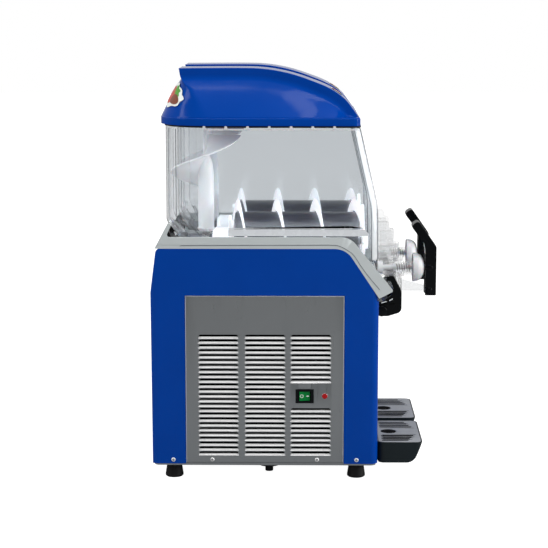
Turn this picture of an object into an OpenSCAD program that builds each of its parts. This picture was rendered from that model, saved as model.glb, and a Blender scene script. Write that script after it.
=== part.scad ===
// Two-bowl slush machine: a cabinet with the cooling plant, a grey deck with two troughs,
// and on each side a clear bowl with its lid, cooled drum, augers, tap, latch and drip tray.
// The front faces -Y and up is +Z. The origin is on the table, under the middle of the whole machine.

/* [Cabinet] */
// Width of the cabinet
body_w = 400; // [398:1:404]
// Depth of the cabinet
body_d = 450; // [448:1:452]
// Height of the cabinet's flat top above the table
body_top = 463.5; // [462:0.5:465]
// Height of the cabinet shells' lower edge
shell_z0 = 32; // [30:1:34]
// Thickness of the moulded blue shells
shell_t = 3; // [2.5:0.1:3.2]
// Radius of the cabinet's upright corners
corner_r = 14; // [10:1:18]

/* [Vents] */
// Rows of louvres in each side panel
vent_rows = 25; // [20:1:25]
// Distance from one louvre to the next
vent_pitch = 9.85; // [9.6:0.05:9.9]
// Height of one louvre slot
vent_slot_h = 4; // [3:0.5:4.5]

/* [Bowls] */
// Distance between the middles of the two bowls
bowl_pitch = 200; // [199:1:202]
// Outer half width of a bowl
bowl_r = 90; // [89:0.5:90]
// Thickness of a bowl's clear wall
bowl_t = 3.5; // [3:0.1:3.5]
// Height of a bowl's rim
bowl_top = 698; // [694:1:700]
// Height of the drum's axis
drum_z = 466; // [465:0.5:467]
// Radius of the cooled drum
drum_r = 58; // [54:1:59]

/* [Augers] */
// Outer radius of the lying auger
auger_r = 84; // [82:0.5:84]
// Advance of the lying auger in one turn
auger_pitch = 77.3; // [70:0.1:85]
// Outer radius of the standing auger
lift_r = 71; // [65:1:72]
// Advance of the standing auger in one turn
lift_pitch = 158; // [140:1:165]
// Teeth on the lying auger's bevel gear
gear_teeth = 24; // [24]
// Teeth on the standing auger's bevel gear
lift_teeth = 16; // [16]

/* [Taps] */
// Height of the tap's axis
tap_z = 412.7; // [411:0.1:414]
// Diameter of the tap's white cap
cap_d = 57; // [50:1:58]
// Width of the tap handle
handle_w = 34; // [32:1:36]

/* [Trays] */
// Width of a drip tray
tray_w = 178; // [160:2:182]
// How far a drip tray stands out of the cabinet
tray_out = 90; // [80:1:94]
// Height of a drip tray's upper edge
tray_top = 73.5; // [71:0.5:77]

/* [Hidden] */
$fn = 48;
far = 600;

// Half sizes of the cabinet
hw = body_w / 2;
hd = body_d / 2;
// Middle of each bowl
bowl_x = bowl_pitch / 2;
// The cabinet is drawn about its own middle, and the whole machine about the middle of its depth
handle_front = -342.6;
gland_back = hd + 9;
centre_y = -(handle_front + gland_back) / 2;

// Slope of the cabinet's front shoulder
slope_top_y = -159.3;
slope_foot_z = 365;
slope_a = atan2(body_top - slope_foot_z, hd + slope_top_y);
deck_t = 22;

// Side window of the shells, filled by the steel vent panels
vent_y0 = -157.5;
vent_y1 = 155.6;
vent_z0 = 33.5;
vent_z1 = 370.5;
vent_recess = 2;
vent_cols = [[50.5, 130.1], [-41.8, 38.7], [-132, -51.6]];
vent_top_z = 290.4;
switch_y = -79.8;
switch_z = 169.4;
lamp_y = -119.4;
gap_rows = [10, 14];
screw_ys = [180.6, 103.1, -104.6, -183];
screw_z = 40;

// Bowl outline
bowl_front = -222.5;
bowl_back = 202.5;
arc_y = bowl_back - bowl_r - 5.5;
wall_back = 157;
trough_r = bowl_r + 1.5;
trough_back = 168;

// Gear train
lift_y = 117.4;
gear_r = 26;
lift_gear_r = gear_r * lift_teeth / gear_teeth;
face_scale = 0.745;
tube_r = 14;
shaft_r = 7;
run = 0.08;

// Tap
tap_bore = 15;
tap_end = -294;
hinge_y = -329;
hinge_z = 368;
pin_r = 2.5;

blue = [0.01, 0.22, 0.6];
steel = [0.62, 0.63, 0.64];
grey = [0.74, 0.76, 0.77];
black = [0.06, 0.06, 0.07];
white = [0.93, 0.93, 0.93];
clear = [0.85, 0.9, 0.95, 0.35];

// ---- Helpers ----

function unit(v) = v / norm(v);

// Points of one rounded corner p = [x, y, radius] between its neighbours a and b
function corner(a, p, b, n) =
  let (c = [p[0], p[1]], u = unit([a[0], a[1]] - c), v = unit([b[0], b[1]] - c))
  let (half = acos(u * v) / 2, m = c + unit(u + v) * p[2] / sin(half))
  let (s = c + u * p[2] / tan(half) - m, e = c + v * p[2] / tan(half) - m)
  let (a0 = atan2(s[1], s[0]), d = atan2(e[1], e[0]) - a0)
  let (sweep = d > 180 ? d - 360 : d < -180 ? d + 360 : d)
  p[2] == 0 ? [c] : [for (i = [0:n]) m + p[2] * [cos(a0 + sweep * i / n), sin(a0 + sweep * i / n)]];

// Closed outline through corners [x, y, radius]
function outline(pts, n = 8) =
  [for (i = [0:len(pts) - 1])
    each corner(pts[(i + len(pts) - 1) % len(pts)], pts[i], pts[(i + 1) % len(pts)], n)];

// A [y, z] outline carried along X
module side_slab(pts, x0, x1, n = 8)
  translate([x0, 0, 0]) rotate([90, 0, 90]) linear_extrude(x1 - x0) polygon(outline(pts, n));

// An [x, y] outline carried along Z
module plan_slab(pts, z0, z1, n = 8)
  translate([0, 0, z0]) linear_extrude(z1 - z0) polygon(outline(pts, n));

// A box between two corners
module block(a, b) translate(a) cube(b - a);

// A round bar along Y, from y0 to y1
module bar_y(r, y0, y1, x = 0, z = 0) translate([x, y1, z]) rotate([90, 0, 0]) cylinder(r = r, h = y1 - y0);

// A round bar along X, centred on x
module bar_x(r, w, y, z, x = 0) translate([x - w / 2, y, z]) rotate([0, 90, 0]) cylinder(r = r, h = w);

// A turned shape about a line along Y, from [radius, y] points
module turned_y(pts) rotate([-90, 0, 0]) rotate_extrude() polygon(pts);

function rect(x0, x1, y0, y1, r) = [[x0, y0, r], [x1, y0, r], [x1, y1, r], [x0, y1, r]];

// ---- Cabinet ----

// Side outline of the cabinet, moved inwards by i
function cabinet_side(i, z0) = [
  [hd - 3 - i, z0, 0], [hd - 1.5 - i, 375, 30], [hd - 13.5 - i, body_top - i, max(9 - i, 1)],
  [slope_top_y + i * tan(slope_a / 2), body_top - i, 40 - i],
  [-hd + i, slope_foot_z - i * tan((90 - slope_a) / 2), 14],
  [-hd + i, z0, 0]
];

module cabinet_block(i, z0) {
  intersection() {
    side_slab(cabinet_side(i, z0), -hw + i, hw - i);
    plan_slab(rect(-hw + i, hw - i, -hd + i, hd - i, corner_r - i), z0 - 1, body_top + 1);
  }
}

// Space that the deck and its troughs take out of the cabinet
module trough_space() {
  for (s = [-1, 1]) {
    bar_y(trough_r + 3.5, -far, trough_back + 5, s * bowl_x, drum_z);
  }
  block([-hw + 4.5, -far, body_top - 9], [hw - 4.5, far, body_top + 20]);
  side_slab(rim_ledge(), -hw + 4.5, hw - 4.5);
}

// Band under the front slope, kept free for the deck
function rim_ledge() = [
  [slope_top_y + 40, body_top - 9, 0], [slope_top_y + 2, body_top - 9, 20],
  [-hd + 8, slope_foot_z - 6, 0], [-hd - 40, slope_foot_z - 6, 0], [-hd - 40, body_top + 20, 0],
  [slope_top_y + 40, body_top + 20, 0]
];

module shell_skin() {
  difference() {
    cabinet_block(0, shell_z0);
    cabinet_block(shell_t, shell_z0 - 5);
    trough_space();
  }
}

module side_shell(s) {
  color(blue) difference() {
    intersection() {
      shell_skin();
      block([s > 0 ? hw - 40 : -hw, -hd, 0], [s > 0 ? hw : -hw + 40, hd, body_top]);
    }
    block([s > 0 ? hw - 10 : -hw - 1, vent_y0 - 0.3, 0], [s > 0 ? hw + 1 : -hw + 10, vent_y1 + 0.3, vent_z1 + 0.3]);
    shell_screw_holes(s);
  }
}

module shell_screw_holes(s) {
  for (y = screw_ys) {
    bar_x(2, 14, y, screw_z, s * (hw - 3));
  }
}

module left_side_shell() side_shell(-1);
module right_side_shell() side_shell(1);

// Slots of one column of louvres, without the rows in skip
module vent_slots(s, col, skip) {
  for (i = [0:vent_rows - 1]) {
    if (i < skip[0] || i > skip[1]) {
      z = vent_top_z - i * vent_pitch;
      block([s * (hw - 3) - 4, col[0], z - vent_slot_h / 2], [s * (hw - 3) + 4, col[1], z + vent_slot_h / 2]);
    }
  }
}

module vent_panel(s, switches) {
  x_out = hw - vent_recess;
  t = 1.2;
  hem = 9;
  color(steel) difference() {
    scale([s, 1, 1]) difference() {
      block([x_out - hem, vent_y0, vent_z0], [x_out, vent_y1, vent_z1]);
      block([x_out - hem - 1, vent_y0 + t, vent_z0 + t], [x_out - t, vent_y1 - t, vent_z1 - t]);
    }
    for (c = [0:2]) {
      vent_slots(s, vent_cols[c], switches && c == 2 ? gap_rows : [vent_rows, 0]);
    }
    shell_screw_holes(s);
    if (switches) {
      block([-hw - 1, switch_y - 13, switch_z - 11], [-hw + 15, switch_y + 13, switch_z + 11]);
      bar_x(4, 20, lamp_y, switch_z, -hw);
    }
  }
}

module left_vent_panel() vent_panel(-1, true);
module right_vent_panel() vent_panel(1, false);

module front_panel() {
  color(blue) difference() {
    union() {
      intersection() {
        shell_skin();
        block([-hw + 40.2, -hd, 0], [hw - 40.2, -hd + 30, 362]);
      }
      for (s = [-1, 1], k = [-1, 1]) {
        latch_ear(s * bowl_x + k * 22);
      }
    }
    for (s = [-1, 1]) {
      tray_tongues(s, 0.4);
      bar_x(pin_r + 0.05, 60, latch_y, latch_z, s * bowl_x);
    }
  }
}

latch_y = -234;
latch_z = 327;

module latch_ear(x) {
  side_slab([[-hd + 2, 337, 0], [-hd + 2, 317, 0], [-240, 317, 7], [-240, 337, 7]], x - 2, x + 2);
}

module rear_panel() {
  color(steel) difference() {
    intersection() {
      shell_skin();
      block([-hw + 40.2, hd - 20, 0], [hw - 40.2, hd, 440]);
    }
    for (i = [0:11]) {
      block([-80, hd - 10, 120 + i * 14], [80, hd + 1, 125 + i * 14]);
    }
    bar_y(8.2, hd - 12, hd + 1, gland_x, gland_z);
  }
}

module base_pan() {
  i = shell_t + 0.4;
  color(steel) difference() {
    plan_slab(rect(-hw + i, hw - i, -hd + i, hd - i - 3, corner_r - i), 28, 46);
    plan_slab(rect(-hw + i + 1.5, hw - i - 1.5, -hd + i + 1.5, hd - i - 4.5, corner_r - i - 1.5), 30, 47);
    translate([drain_x, drain_y, 0]) cylinder(r = 8.5, h = 60);
    for (s = [-1, 1], x = [-1, 1], y = [foot_back, foot_front]) {
      translate([x * foot_x, y, 0]) cylinder(r = 4.1, h = 60);
    }
    for (s = [-1, 1]) {
      shell_screw_holes(s);
      tray_tongues(s, 0.4);
      block([s > 0 ? hw - 11.5 : -hw - 1, vent_y0 - 0.3, vent_z0 - 0.3],
        [s > 0 ? hw + 1 : -hw + 11.5, vent_y1 + 0.3, 50]);
    }
  }
}

foot_x = 172;
foot_back = 180.5;
foot_front = -183.3;

// Four conical rubber feet, each with the stud that holds it in the pan
module feet() {
  color(black)
    for (x = [-1, 1], y = [foot_back, foot_front]) {
      translate([x * foot_x, y, 0]) rotate_extrude()
        polygon([[0, 0], [16, 0], [18, 2], [18, 5], [14.5, 28], [4, 28], [4, 34], [0, 34]]);
    }
}

module deck() {
  color(grey) difference() {
    union() {
      difference() {
        side_slab(deck_side(), -hw, hw);
        deck_well();
      }
      intersection() {
        for (s = [-1, 1]) {
          bar_y(trough_r + 3, -far, trough_back + 4, s * bowl_x, drum_z);
        }
        side_slab(trough_clip(), -hw + 4, hw - 4);
      }
    }
    for (s = [-1, 1]) {
      bar_y(trough_r, -far, trough_back, s * bowl_x, drum_z);
      block([s * bowl_x - trough_r, -far, drum_z], [s * bowl_x + trough_r, trough_back, far]);
      bar_y(tube_r + 0.3, 100, 200, s * bowl_x, drum_z);
      block([s * bowl_x - 36.5, trough_back + 4, body_top - 30], [s * bowl_x + 36.5, 209, drum_z + 16]);
    }
    seam_grooves();
  }
}

// Side outline of the deck, from the cabinet's top to the top of its rim
function deck_side() = [
  [hd - 11, body_top, 0], [hd - 38, 514, 2], [hd - 44, 510, 2], [hd - 33, body_top + deck_t, 4],
  [slope_top_y - 8, body_top + deck_t, 38], [-253, 380, 3], [-234, 370, 4], [-hd, slope_foot_z + 0.5, 0],
  [slope_top_y, body_top, 40]
];

// Space inside the deck's rim, above its floor
module deck_well() {
  w = trough_r + bowl_x;
  block([-w, -far, body_top + 3.5], [w, 201, 500]);
  side_slab([[hd - 14.5, body_top + 3.5, 0], [hd - 29, 493, 0], [hd - 29, far, 0], [100, far, 0],
    [100, body_top + 3.5, 0]], -w, w);
  block([-165, 100, 493], [165, 230, far]);
  side_slab([[slope_top_y + 60, body_top + 3.5, 0], [slope_top_y - 3, body_top + 3.5, 40],
    [-hd - 5.5, slope_foot_z + 1.5, 0], [-hd - 80, slope_foot_z - 20, 0], [-hd - 80, far, 0],
    [slope_top_y + 60, far, 0]], -w, w);
}

function trough_clip() = [
  [trough_back + 4, 350, 0], [trough_back + 4, 474, 0], [100, body_top + 3.5, 0],
  [slope_top_y - 3, body_top + 3.5, 40], [-hd - 1, slope_foot_z + 6, 0], [-hd + 1, 350, 0]
];

// Fine groove round the deck's side, between its lower strip and its rim
module seam_grooves() {
  for (s = [-1, 1]) {
    block([s * hw - 0.8, -140, 470], [s * hw + 0.8, hd, 471]);
  }
}

module panel_screws() {
  color(steel)
    for (s = [-1, 1], y = screw_ys) {
      recess = y < vent_y1 && y > vent_y0 ? vent_recess : 0;
      scale([s, 1, 1]) {
        bar_x(1.9, 7, y, screw_z, hw - recess - 3.5);
        translate([hw - recess, y, screw_z]) rotate([0, 90, 0]) cylinder(r1 = 3.6, r2 = 2.4, h = 1.5);
      }
    }
}

drain_x = -172;
drain_y = -9.5;

module drain_spigot() {
  color(black) translate([drain_x, drain_y, 0]) rotate_extrude()
    polygon([[5.5, 11], [7.4, 11], [8, 12], [8, 24], [21, 24], [21, 28], [8, 28], [8, 34], [5.5, 34]]);
}

gland_x = 150;
gland_z = 70;

module cord_gland() {
  color(black) translate([gland_x, 0, gland_z]) turned_y([
    [4.2, hd - 14], [8, hd - 14], [8, hd - 2.7], [12, hd - 2.7], [12, hd + 4], [9, hd + 9], [4.2, hd + 9]
  ]);
}

// ---- Cooling plant ----

comp_x = 95;
comp_y = 50;
comp_r = 68;
cond_y0 = -112;
line_r = 3;
line_y = 185;
line_z = 232;
motor_box_w = 34;

module compressor() {
  color(black) translate([comp_x, comp_y, 0]) {
    rotate_extrude()
      polygon(outline([[0, 40, 0], [comp_r, 40, 14], [comp_r, 130, 2], [comp_r + 3, 130, 0], [comp_r + 3, 136, 2],
        [comp_r, 136, 0], [comp_r, 205, 34], [0, 212, 0]]));
    for (x = [-1, 1], y = [-1, 1]) {
      translate([x * 62, y * 62, 30]) cylinder(r = 9, h = 14);
    }
    for (x = [-1, 1]) {
      block([x * 62 - 9, -71, 44], [x * 62 + 9, 71, 47]);
    }
  }
}

module condenser() {
  color(steel) {
    difference() {
      block([-176, cond_y0, 40], [-132, -cond_y0, 292]);
      for (i = [0:17]) {
        block([-178, -106 + i * 12, 46], [-130, -99 + i * 12, 286]);
      }
    }
    for (i = [0:5]) {
      bar_y(4.5, -111, 111, -154, 66 + i * 40);
    }
  }
}

module fan_motor() {
  color(black) {
    difference() {
      union() {
        difference() {
          block([-128, cond_y0, 40], [-92, -cond_y0, 292]);
          block([-129, cond_y0 + 2, 42], [-94, -cond_y0 - 2, 290]);
        }
        bar_x(shroud_r + 2, 34, 0, fan_z, -109);
      }
      bar_x(shroud_r, 60, 0, fan_z, -110);
    }
    bar_x(32, 48, 0, fan_z, -50);
    bar_x(5, 22, 0, fan_z, -85);
    for (k = [-1, 1]) {
      block([-90, k * 108 - 4, 40], [-74, k * 108 + 4, 180]);
      block([-82, min(k * 28, k * 108), fan_z - 6], [-74, max(k * 28, k * 108), fan_z + 6]);
    }
  }
}

fan_z = 170;
shroud_r = 102;

module fan_blade() {
  color(steel) {
    difference() {
      bar_x(20, 20, 0, fan_z, -104);
      bar_x(5.08, 40, 0, fan_z, -84);
    }
    for (k = [0:4]) {
      translate([-104, 0, fan_z]) rotate([k * 72, 0, 0]) rotate([0, 0, 32])
        block([-1, -22, 16], [1, 22, 94]);
    }
  }
}

// Copper lines from the compressor to the condenser and to both drums, with the filter drier
module refrigerant_lines() {
  r = line_r;
  color([0.72, 0.42, 0.25]) {
    for (s = [-1, 1]) {
      x = s * bowl_x - 45;
      rod([x, line_y, line_z], [x, line_y, 440], r);
      rod([x, line_y, 440], [s * bowl_x - motor_box_w - r - 0.1, line_y, 440], r);
      rod([x, line_y, line_z], [20, line_y, line_z], r);
    }
    rod([20, line_y, line_z], [20, line_y, 100], r);
    rod([20, line_y, 100], [20, comp_y, 100], r);
    rod([20, comp_y, 100], [comp_x - comp_r - r - 0.1, comp_y, 100], r);
    rod([comp_x, comp_y - comp_r - r - 0.1, 90], [comp_x, -130, 90], r);
    rod([comp_x, -130, 90], [-154, -130, 90], r);
    rod([-154, -130, 90], [-154, cond_y0 - r - 0.1, 90], r);
    bar_x(9, 70, -130, 90, -20);
  }
}

// A round rod with ball ends between two points on one axis-parallel line
module rod(a, b, r) {
  d = b - a;
  l = norm(d);
  translate(a) rotate([0, acos(d[2] / l), atan2(d[1], d[0])]) cylinder(r = r, h = l);
  translate(a) sphere(r = r);
  translate(b) sphere(r = r);
}

// ---- Side controls ----

module switch_bezel() {
  x = -hw + vent_recess;
  color(black) difference() {
    union() {
      block([x - 1.8, switch_y - 18, switch_z - 14], [x, switch_y + 18, switch_z + 14]);
      block([x, switch_y - 12.8, switch_z - 10.8], [x + 22, switch_y + 12.8, switch_z + 10.8]);
    }
    block([x - 5, switch_y - 11.8, switch_z - 9.6], [x + 9, switch_y + 11.8, switch_z + 9.6]);
    bar_z(1.05, 21.2, x + 3, switch_y, switch_z);
  }
}

// A round bar along Z, centred on z
module bar_z(r, h, x, y, z) translate([x, y, z - h / 2]) cylinder(r = r, h = h);

// Green rocker with two slightly tilted faces, on its own cross pin
module rocker() {
  x = -hw + vent_recess;
  color([0.05, 0.55, 0.2]) {
    translate([0, 0, switch_z - 9.2]) linear_extrude(18.4)
      polygon([[x - 2, switch_y + 10.4], [x - 0.4, switch_y], [x + 0.9, switch_y - 10.4], [x + 3, switch_y - 10.2],
        [x + 5, switch_y - 4], [x + 5, switch_y + 4], [x + 1, switch_y + 10.4]]);
    bar_z(1, 21, x + 3, switch_y, switch_z);
  }
}

module pilot_lamp() {
  x = -hw + vent_recess;
  color([0.8, 0.1, 0.08]) translate([x, lamp_y, switch_z]) rotate([0, -90, 0]) rotate_extrude()
    polygon(outline([[0, -14, 0], [3.8, -14, 0], [3.8, 0, 0], [5.5, 0, 0], [5.5, 0.8, 0.3], [4.4, 1.8, 1], [0, 1.9, 0]]));
}

// ---- Bowls and lids ----

// Plan of a bowl about its own middle: straight sides, round back, rounded front corners
module bowl_plan(i, front) {
  r = bowl_r - i;
  translate([0, arc_y]) circle(r = r, $fn = 96);
  polygon(outline([[-r, front + i, 18 - i], [r, front + i, 18 - i], [r, arc_y, 0], [-r, arc_y, 0]]));
}

// Side outline of a bowl, moved inwards by i, up to height z1
function bowl_side(i, z1) = [
  [bowl_back - i, z1, 0], [bowl_back - i, 519 + i * 0.3, 22], [wall_back - i, drum_z - 2 + i * 0.4, 4],
  [wall_back - i, drum_z - bowl_r - 9, 0], [bowl_front + i, drum_z - bowl_r - 9, 0],
  [bowl_front + i, 430, 0], [-219.5 + i, 548, 30],
  [-185.6 + i + (z1 - bowl_top) * 0.226, z1, 0]
];

module bowl_solid(i, z1) {
  r = bowl_r - i;
  intersection() {
    side_slab(bowl_side(i, z1), -r, r);
    translate([0, 0, 300]) linear_extrude(z1 - 300) bowl_plan(i, bowl_front);
    translate([0, bowl_back, 0]) rotate([90, 0, 0]) linear_extrude(bowl_back - bowl_front) union() {
      translate([0, drum_z]) circle(r = r, $fn = 96);
      translate([-r, drum_z]) square([2 * r, z1 - drum_z]);
    }
  }
}

module bowl(s) {
  color(clear) translate([s * bowl_x, 0, 0]) difference() {
    union() {
      bowl_solid(0, bowl_top);
      intersection() {
        translate([0, 0, bowl_top - 4]) linear_extrude(4) bowl_plan(-3, -185.6);
        block([-far, -188, 0], [far, far, far]);
      }
      bar_y(21, 150, 166, 0, drum_z);
      latch_bar();
    }
    bowl_solid(bowl_t, bowl_top + 30);
    bar_y(17.5, 130, 170, 0, drum_z);
    bar_y(10, -240, -210, 0, tap_z);
  }
}

// Two pegs on the bowl's front that the latch holds, one each side of the spout
module latch_bar() {
  for (k = [-1, 1]) {
    bar_x(4, 8, -249.5, 380, k * 18.5);
    side_slab([[bowl_front + 1, 392, 0], [bowl_front + 1, 377, 0], [-249.5, 376, 3], [-253, 384, 3]],
      k * 19 - 3, k * 19 + 3);
  }
}

module left_bowl() bowl(-1);
module right_bowl() bowl(1);

lid_r = 96;
lid_z0 = 702;
lid_t = 2.5;

// Side outline of a lid, moved inwards by i
function lid_side(i) = [
  [206.2 - i, lid_z0 - (i > 0 ? 5 : 0), 0], [206.2 - i, 718, 4], [164.5 - i, 788, 6], [167.5 - i, 811 - i, 0],
  [40, 812.5 - i, 250], [-50, 803 - i, 120], [-150, 770 - i, 60], [-186.5 + i, 706, 6],
  [-186.5 + i, lid_z0 - (i > 0 ? 5 : 0), 0]
];

// Body of a lid: leaning flat flanks over a round-backed rim, narrow at the top
module lid_body(i) {
  hull() {
    translate([0, 0, lid_z0 - (i > 0 ? 5 : 0)]) linear_extrude(16 + (i > 0 ? 5 : 0)) {
      translate([0, arc_y - 0.3]) circle(r = lid_r + 3.8 - i, $fn = 72);
      polygon(outline([[-lid_r + i, -186.5 + i, 14], [lid_r - i, -186.5 + i, 14], [lid_r - i, arc_y, 0],
        [-lid_r + i, arc_y, 0]]));
    }
    translate([0, 0, 812 - i]) linear_extrude(0.5)
      polygon(outline(rect(-47 + i, 47 - i, -186.5 + i, 167 - i, 5)));
  }
}

module lid(s) {
  color(blue) translate([s * bowl_x, 0, 0]) difference() {
    intersection() {
      side_slab(lid_side(0), -lid_r - 1, lid_r + 1, 10);
      union() {
        lid_body(0);
        intersection() {
          side_slab(lid_band(), -lid_r, lid_r, 10);
          translate([0, 1.5, 0]) scale([1.03, 1.012, 1]) lid_body(0);
        }
      }
    }
    intersection() {
      side_slab(lid_side(lid_t), -lid_r, lid_r, 10);
      lid_body(lid_t);
    }
  }
}

// Raised band along the lid's upper edge
function lid_band() = [
  [168, 790, 0], [40, 792, 250], [-50, 783, 120], [-146, 750, 60], [-180, 715, 6],
  [-200, 706, 0], [-200, 830, 0], [168, 830, 0]
];

module left_lid() lid(-1);
module right_lid() lid(1);

module rim_seal(s) {
  color(black) translate([s * bowl_x, 0, bowl_top + 0.3]) difference() {
    linear_extrude(3.7) bowl_plan(-2, -185.6);
    translate([0, 0, -1]) linear_extrude(6) bowl_plan(6, -185.6);
  }
}

module left_rim_seal() rim_seal(-1);
module right_rim_seal() rim_seal(1);

module rear_clips(s) {
  color(black)
    for (k = [-1, 1]) {
      side_slab([[207.5, body_top + 3.5, 0], [186, body_top + 3.5, 0], [186, 486, 3], [190, 498, 2], [193.5, 496, 1],
        [205.3, 473, 2]], s * bowl_x + k * 52 - 12, s * bowl_x + k * 52 + 12);
    }
}

module left_rear_clips() rear_clips(-1);
module right_rear_clips() rear_clips(1);

// ---- Cooled drum and augers ----

drum_front = -188;
drum_back = 60;

module evaporator(s) {
  color(steel) translate([s * bowl_x, 0, drum_z]) difference() {
    union() {
      turned_y(concat(
        [[shaft_r + run, drum_front]],
        corner([drum_r - 20, drum_front], [drum_r, drum_front, 5], [drum_r, drum_back], 6),
        corner([drum_r, drum_front], [drum_r, drum_back, 5], [tube_r, drum_back], 6),
        [[tube_r, drum_back], [tube_r, 172.2], [34, 172.2], [34, 176], [shaft_r + run, 176],
          [shaft_r + run, drum_back - 3], [drum_r - 3, drum_back - 3], [drum_r - 3, drum_front + 3],
          [shaft_r + run, drum_front + 3]]
      ));
      block([-34, 172.2, -40], [34, 176, -20]);
    }
    block([-far, 171, 8], [far, 180, far]);
  }
}

module left_evaporator() evaporator(-1);
module right_evaporator() evaporator(1);

// Outline of a bevel gear's large end
function gear_points(n, r, shift) =
  [for (i = [0:n - 1], p = [[-0.36, -2.2], [-0.2, 1.5], [0.2, 1.5], [0.36, -2.2]])
    let (a = (i + shift + p[0] * 0.8) * 360 / n) (r + p[1]) * [cos(a), sin(a)]];

ribbon_y0 = -197;
ribbon_y1 = 68;

module auger(s) {
  inner = drum_r + 3;
  phase = 360 * (ribbon_y0 + 179.3) / auger_pitch;
  color(white) translate([s * bowl_x, 0, drum_z]) difference() {
    union() {
      translate([0, ribbon_y1, 0]) rotate([90, 0, 0])
        rotate([0, 0, 90 - 360 * (ribbon_y1 + 179.3) / auger_pitch])
        linear_extrude(ribbon_y1 - ribbon_y0, twist = -360 * (ribbon_y1 - ribbon_y0) / auger_pitch, slices = 84,
          segments = 6)
          polygon([for (q = [[inner, -13], [auger_r, -5], [auger_r, 5], [inner, 13]]) q[0] * [cos(q[1]), sin(q[1])]]);
      arms(ribbon_y0 - 3, ribbon_y0 + 4, 26, phase);
      arms(ribbon_y1 - 4, ribbon_y1 + 2, 28, 360 * (ribbon_y1 + 179.3) / auger_pitch);
      bar_y(28, ribbon_y1, 98, 0, 0);
      translate([0, 98, 0]) rotate([-90, 0, 0]) linear_extrude(7, scale = face_scale)
        rotate([0, 0, -90]) polygon(gear_points(gear_teeth, gear_r, 0));
      bar_y(16, ribbon_y0 - 9, ribbon_y0, 0, 0);
    }
    bar_y(tube_r + 0.4, drum_back + 0.3, 110, 0, 0);
    bar_y(shaft_r + 0.02, ribbon_y0 - 6, drum_front - 0.6, 0, 0);
  }
}

// Three arms that carry the ribbon's end, with a hub
module arms(y0, y1, hub, phase) {
  bar_y(hub, y0, y1, 0, 0);
  for (k = [0:2]) {
    rotate([0, phase + k * 120, 0]) block([-7, y0, 20], [7, y1, auger_r - 2]);
  }
}

module left_auger() auger(-1);
module right_auger() auger(1);

lift_z0 = drum_z + 19.4;
lift_gear_z = drum_z + 26;
blade_z0 = 555;
blade_z1 = 681;
blade_turn = 360 * (blade_z1 - blade_z0) / lift_pitch;

module lift_auger(s) {
  color(white) translate([s * bowl_x, lift_y, 0]) difference() {
    union() {
      rotate_extrude() polygon([[0, lift_gear_z - 1], [16, lift_gear_z - 1], [16, 600], [13, 625], [6, 640],
        [5, 690], [3, 693], [0, 693]]);
      translate([0, 0, lift_gear_z]) mirror([0, 0, 1]) linear_extrude(lift_gear_z - lift_z0, scale = face_scale)
        rotate([0, 0, -90]) polygon(gear_points(lift_teeth, lift_gear_r, 0.5));
      translate([0, 0, blade_z0]) rotate([0, 0, -90 - blade_turn]) linear_extrude(
        blade_z1 - blade_z0, twist = -blade_turn, slices = 30, segments = 12)
          polygon([[3, -3.5], [lift_r - 3, -4.5], [lift_r, -2], [lift_r, 2], [lift_r - 3, 4.5], [3, 3.5]]);
    }
    translate([0, 0, 400]) cylinder(r = 6.4, h = 162);
  }
}

module left_lift_auger() lift_auger(-1);
module right_lift_auger() lift_auger(1);

module auger_post(s) {
  color(steel) translate([s * bowl_x, lift_y, 0]) difference() {
    union() {
      bar_y(17.5, -7, 8, 0, drum_z);
      translate([0, 0, drum_z + 15]) cylinder(r = 6, h = 78);
    }
    bar_y(tube_r, -20, 20, 0, drum_z);
  }
}

module left_auger_post() auger_post(-1);
module right_auger_post() auger_post(1);

module drive_shaft(s) {
  color(steel) bar_y(shaft_r, ribbon_y0 - 6, 190, s * bowl_x, drum_z);
}

module left_drive_shaft() drive_shaft(-1);
module right_drive_shaft() drive_shaft(1);

module gearmotor(s) {
  color(black) translate([s * bowl_x, 0, 0]) difference() {
    union() {
      block([-motor_box_w, 176.2, 366], [motor_box_w, 203, drum_z + 11]);
      translate([0, 184, 240]) cylinder(r = 31, h = 127);
    }
    bar_y(shaft_r + run, 170, 192, 0, drum_z);
  }
}

module left_gearmotor() gearmotor(-1);
module right_gearmotor() gearmotor(1);

module bowl_seal(s) {
  color([0.3, 0.3, 0.31]) translate([s * bowl_x, 0, drum_z]) difference() {
    bar_y(17.4, 156, 167.8, 0, 0);
    bar_y(tube_r + 0.02, 150, 170, 0, 0);
  }
}

module left_bowl_seal() bowl_seal(-1);
module right_bowl_seal() bowl_seal(1);

// ---- Taps ----

module tap_body(s) {
  arm_x = 10.5;
  color(clear) translate([s * bowl_x, 0, 0]) difference() {
    union() {
      bar_y(24, -227.5, bowl_front, 0, tap_z);
      bar_y(19, -278, -227, 0, tap_z);
      bar_y(11.5, tap_end, -277, 0, tap_z);
      translate([0, -262, 363.7]) cylinder(r = 13, h = 40);
      for (k = [-1, 1]) {
        side_slab([[-262, 364, 0], [-331, 364, 4], [-333, 372, 4], [-322, 376, 3], [-268, 390, 0], [-262, 390, 0]],
          k * arm_x - 2, k * arm_x + 2);
      }
      side_slab([[bowl_front - 0.2, tap_z + 14, 0], [-258, tap_z + 14, 0], [-258, 490.5, 3], [-248, 490.5, 0],
        [-248, 504, 3], [bowl_front - 0.2, 504, 0]], -15, 15);
      translate([0, -261.5, tap_z]) cylinder(r = 7.5, h = 52);
    }
    bar_y(tap_bore, -275, bowl_front + 2, 0, tap_z);
    bar_y(8.5, -292, -270, 0, tap_z);
    bar_y(5.3, -300, -290, 0, tap_z);
    translate([0, -262, 350]) cylinder(r = 9.5, h = 55);
    bar_x(pin_r, 60, hinge_y, hinge_z);
    side_slab([[-231, tap_z + 24, 0], [-253, tap_z + 24, 0], [-253, 486, 0], [-231, 486, 0]], -12, 12);
  }
}

module left_tap_body() tap_body(-1);
module right_tap_body() tap_body(1);

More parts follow.
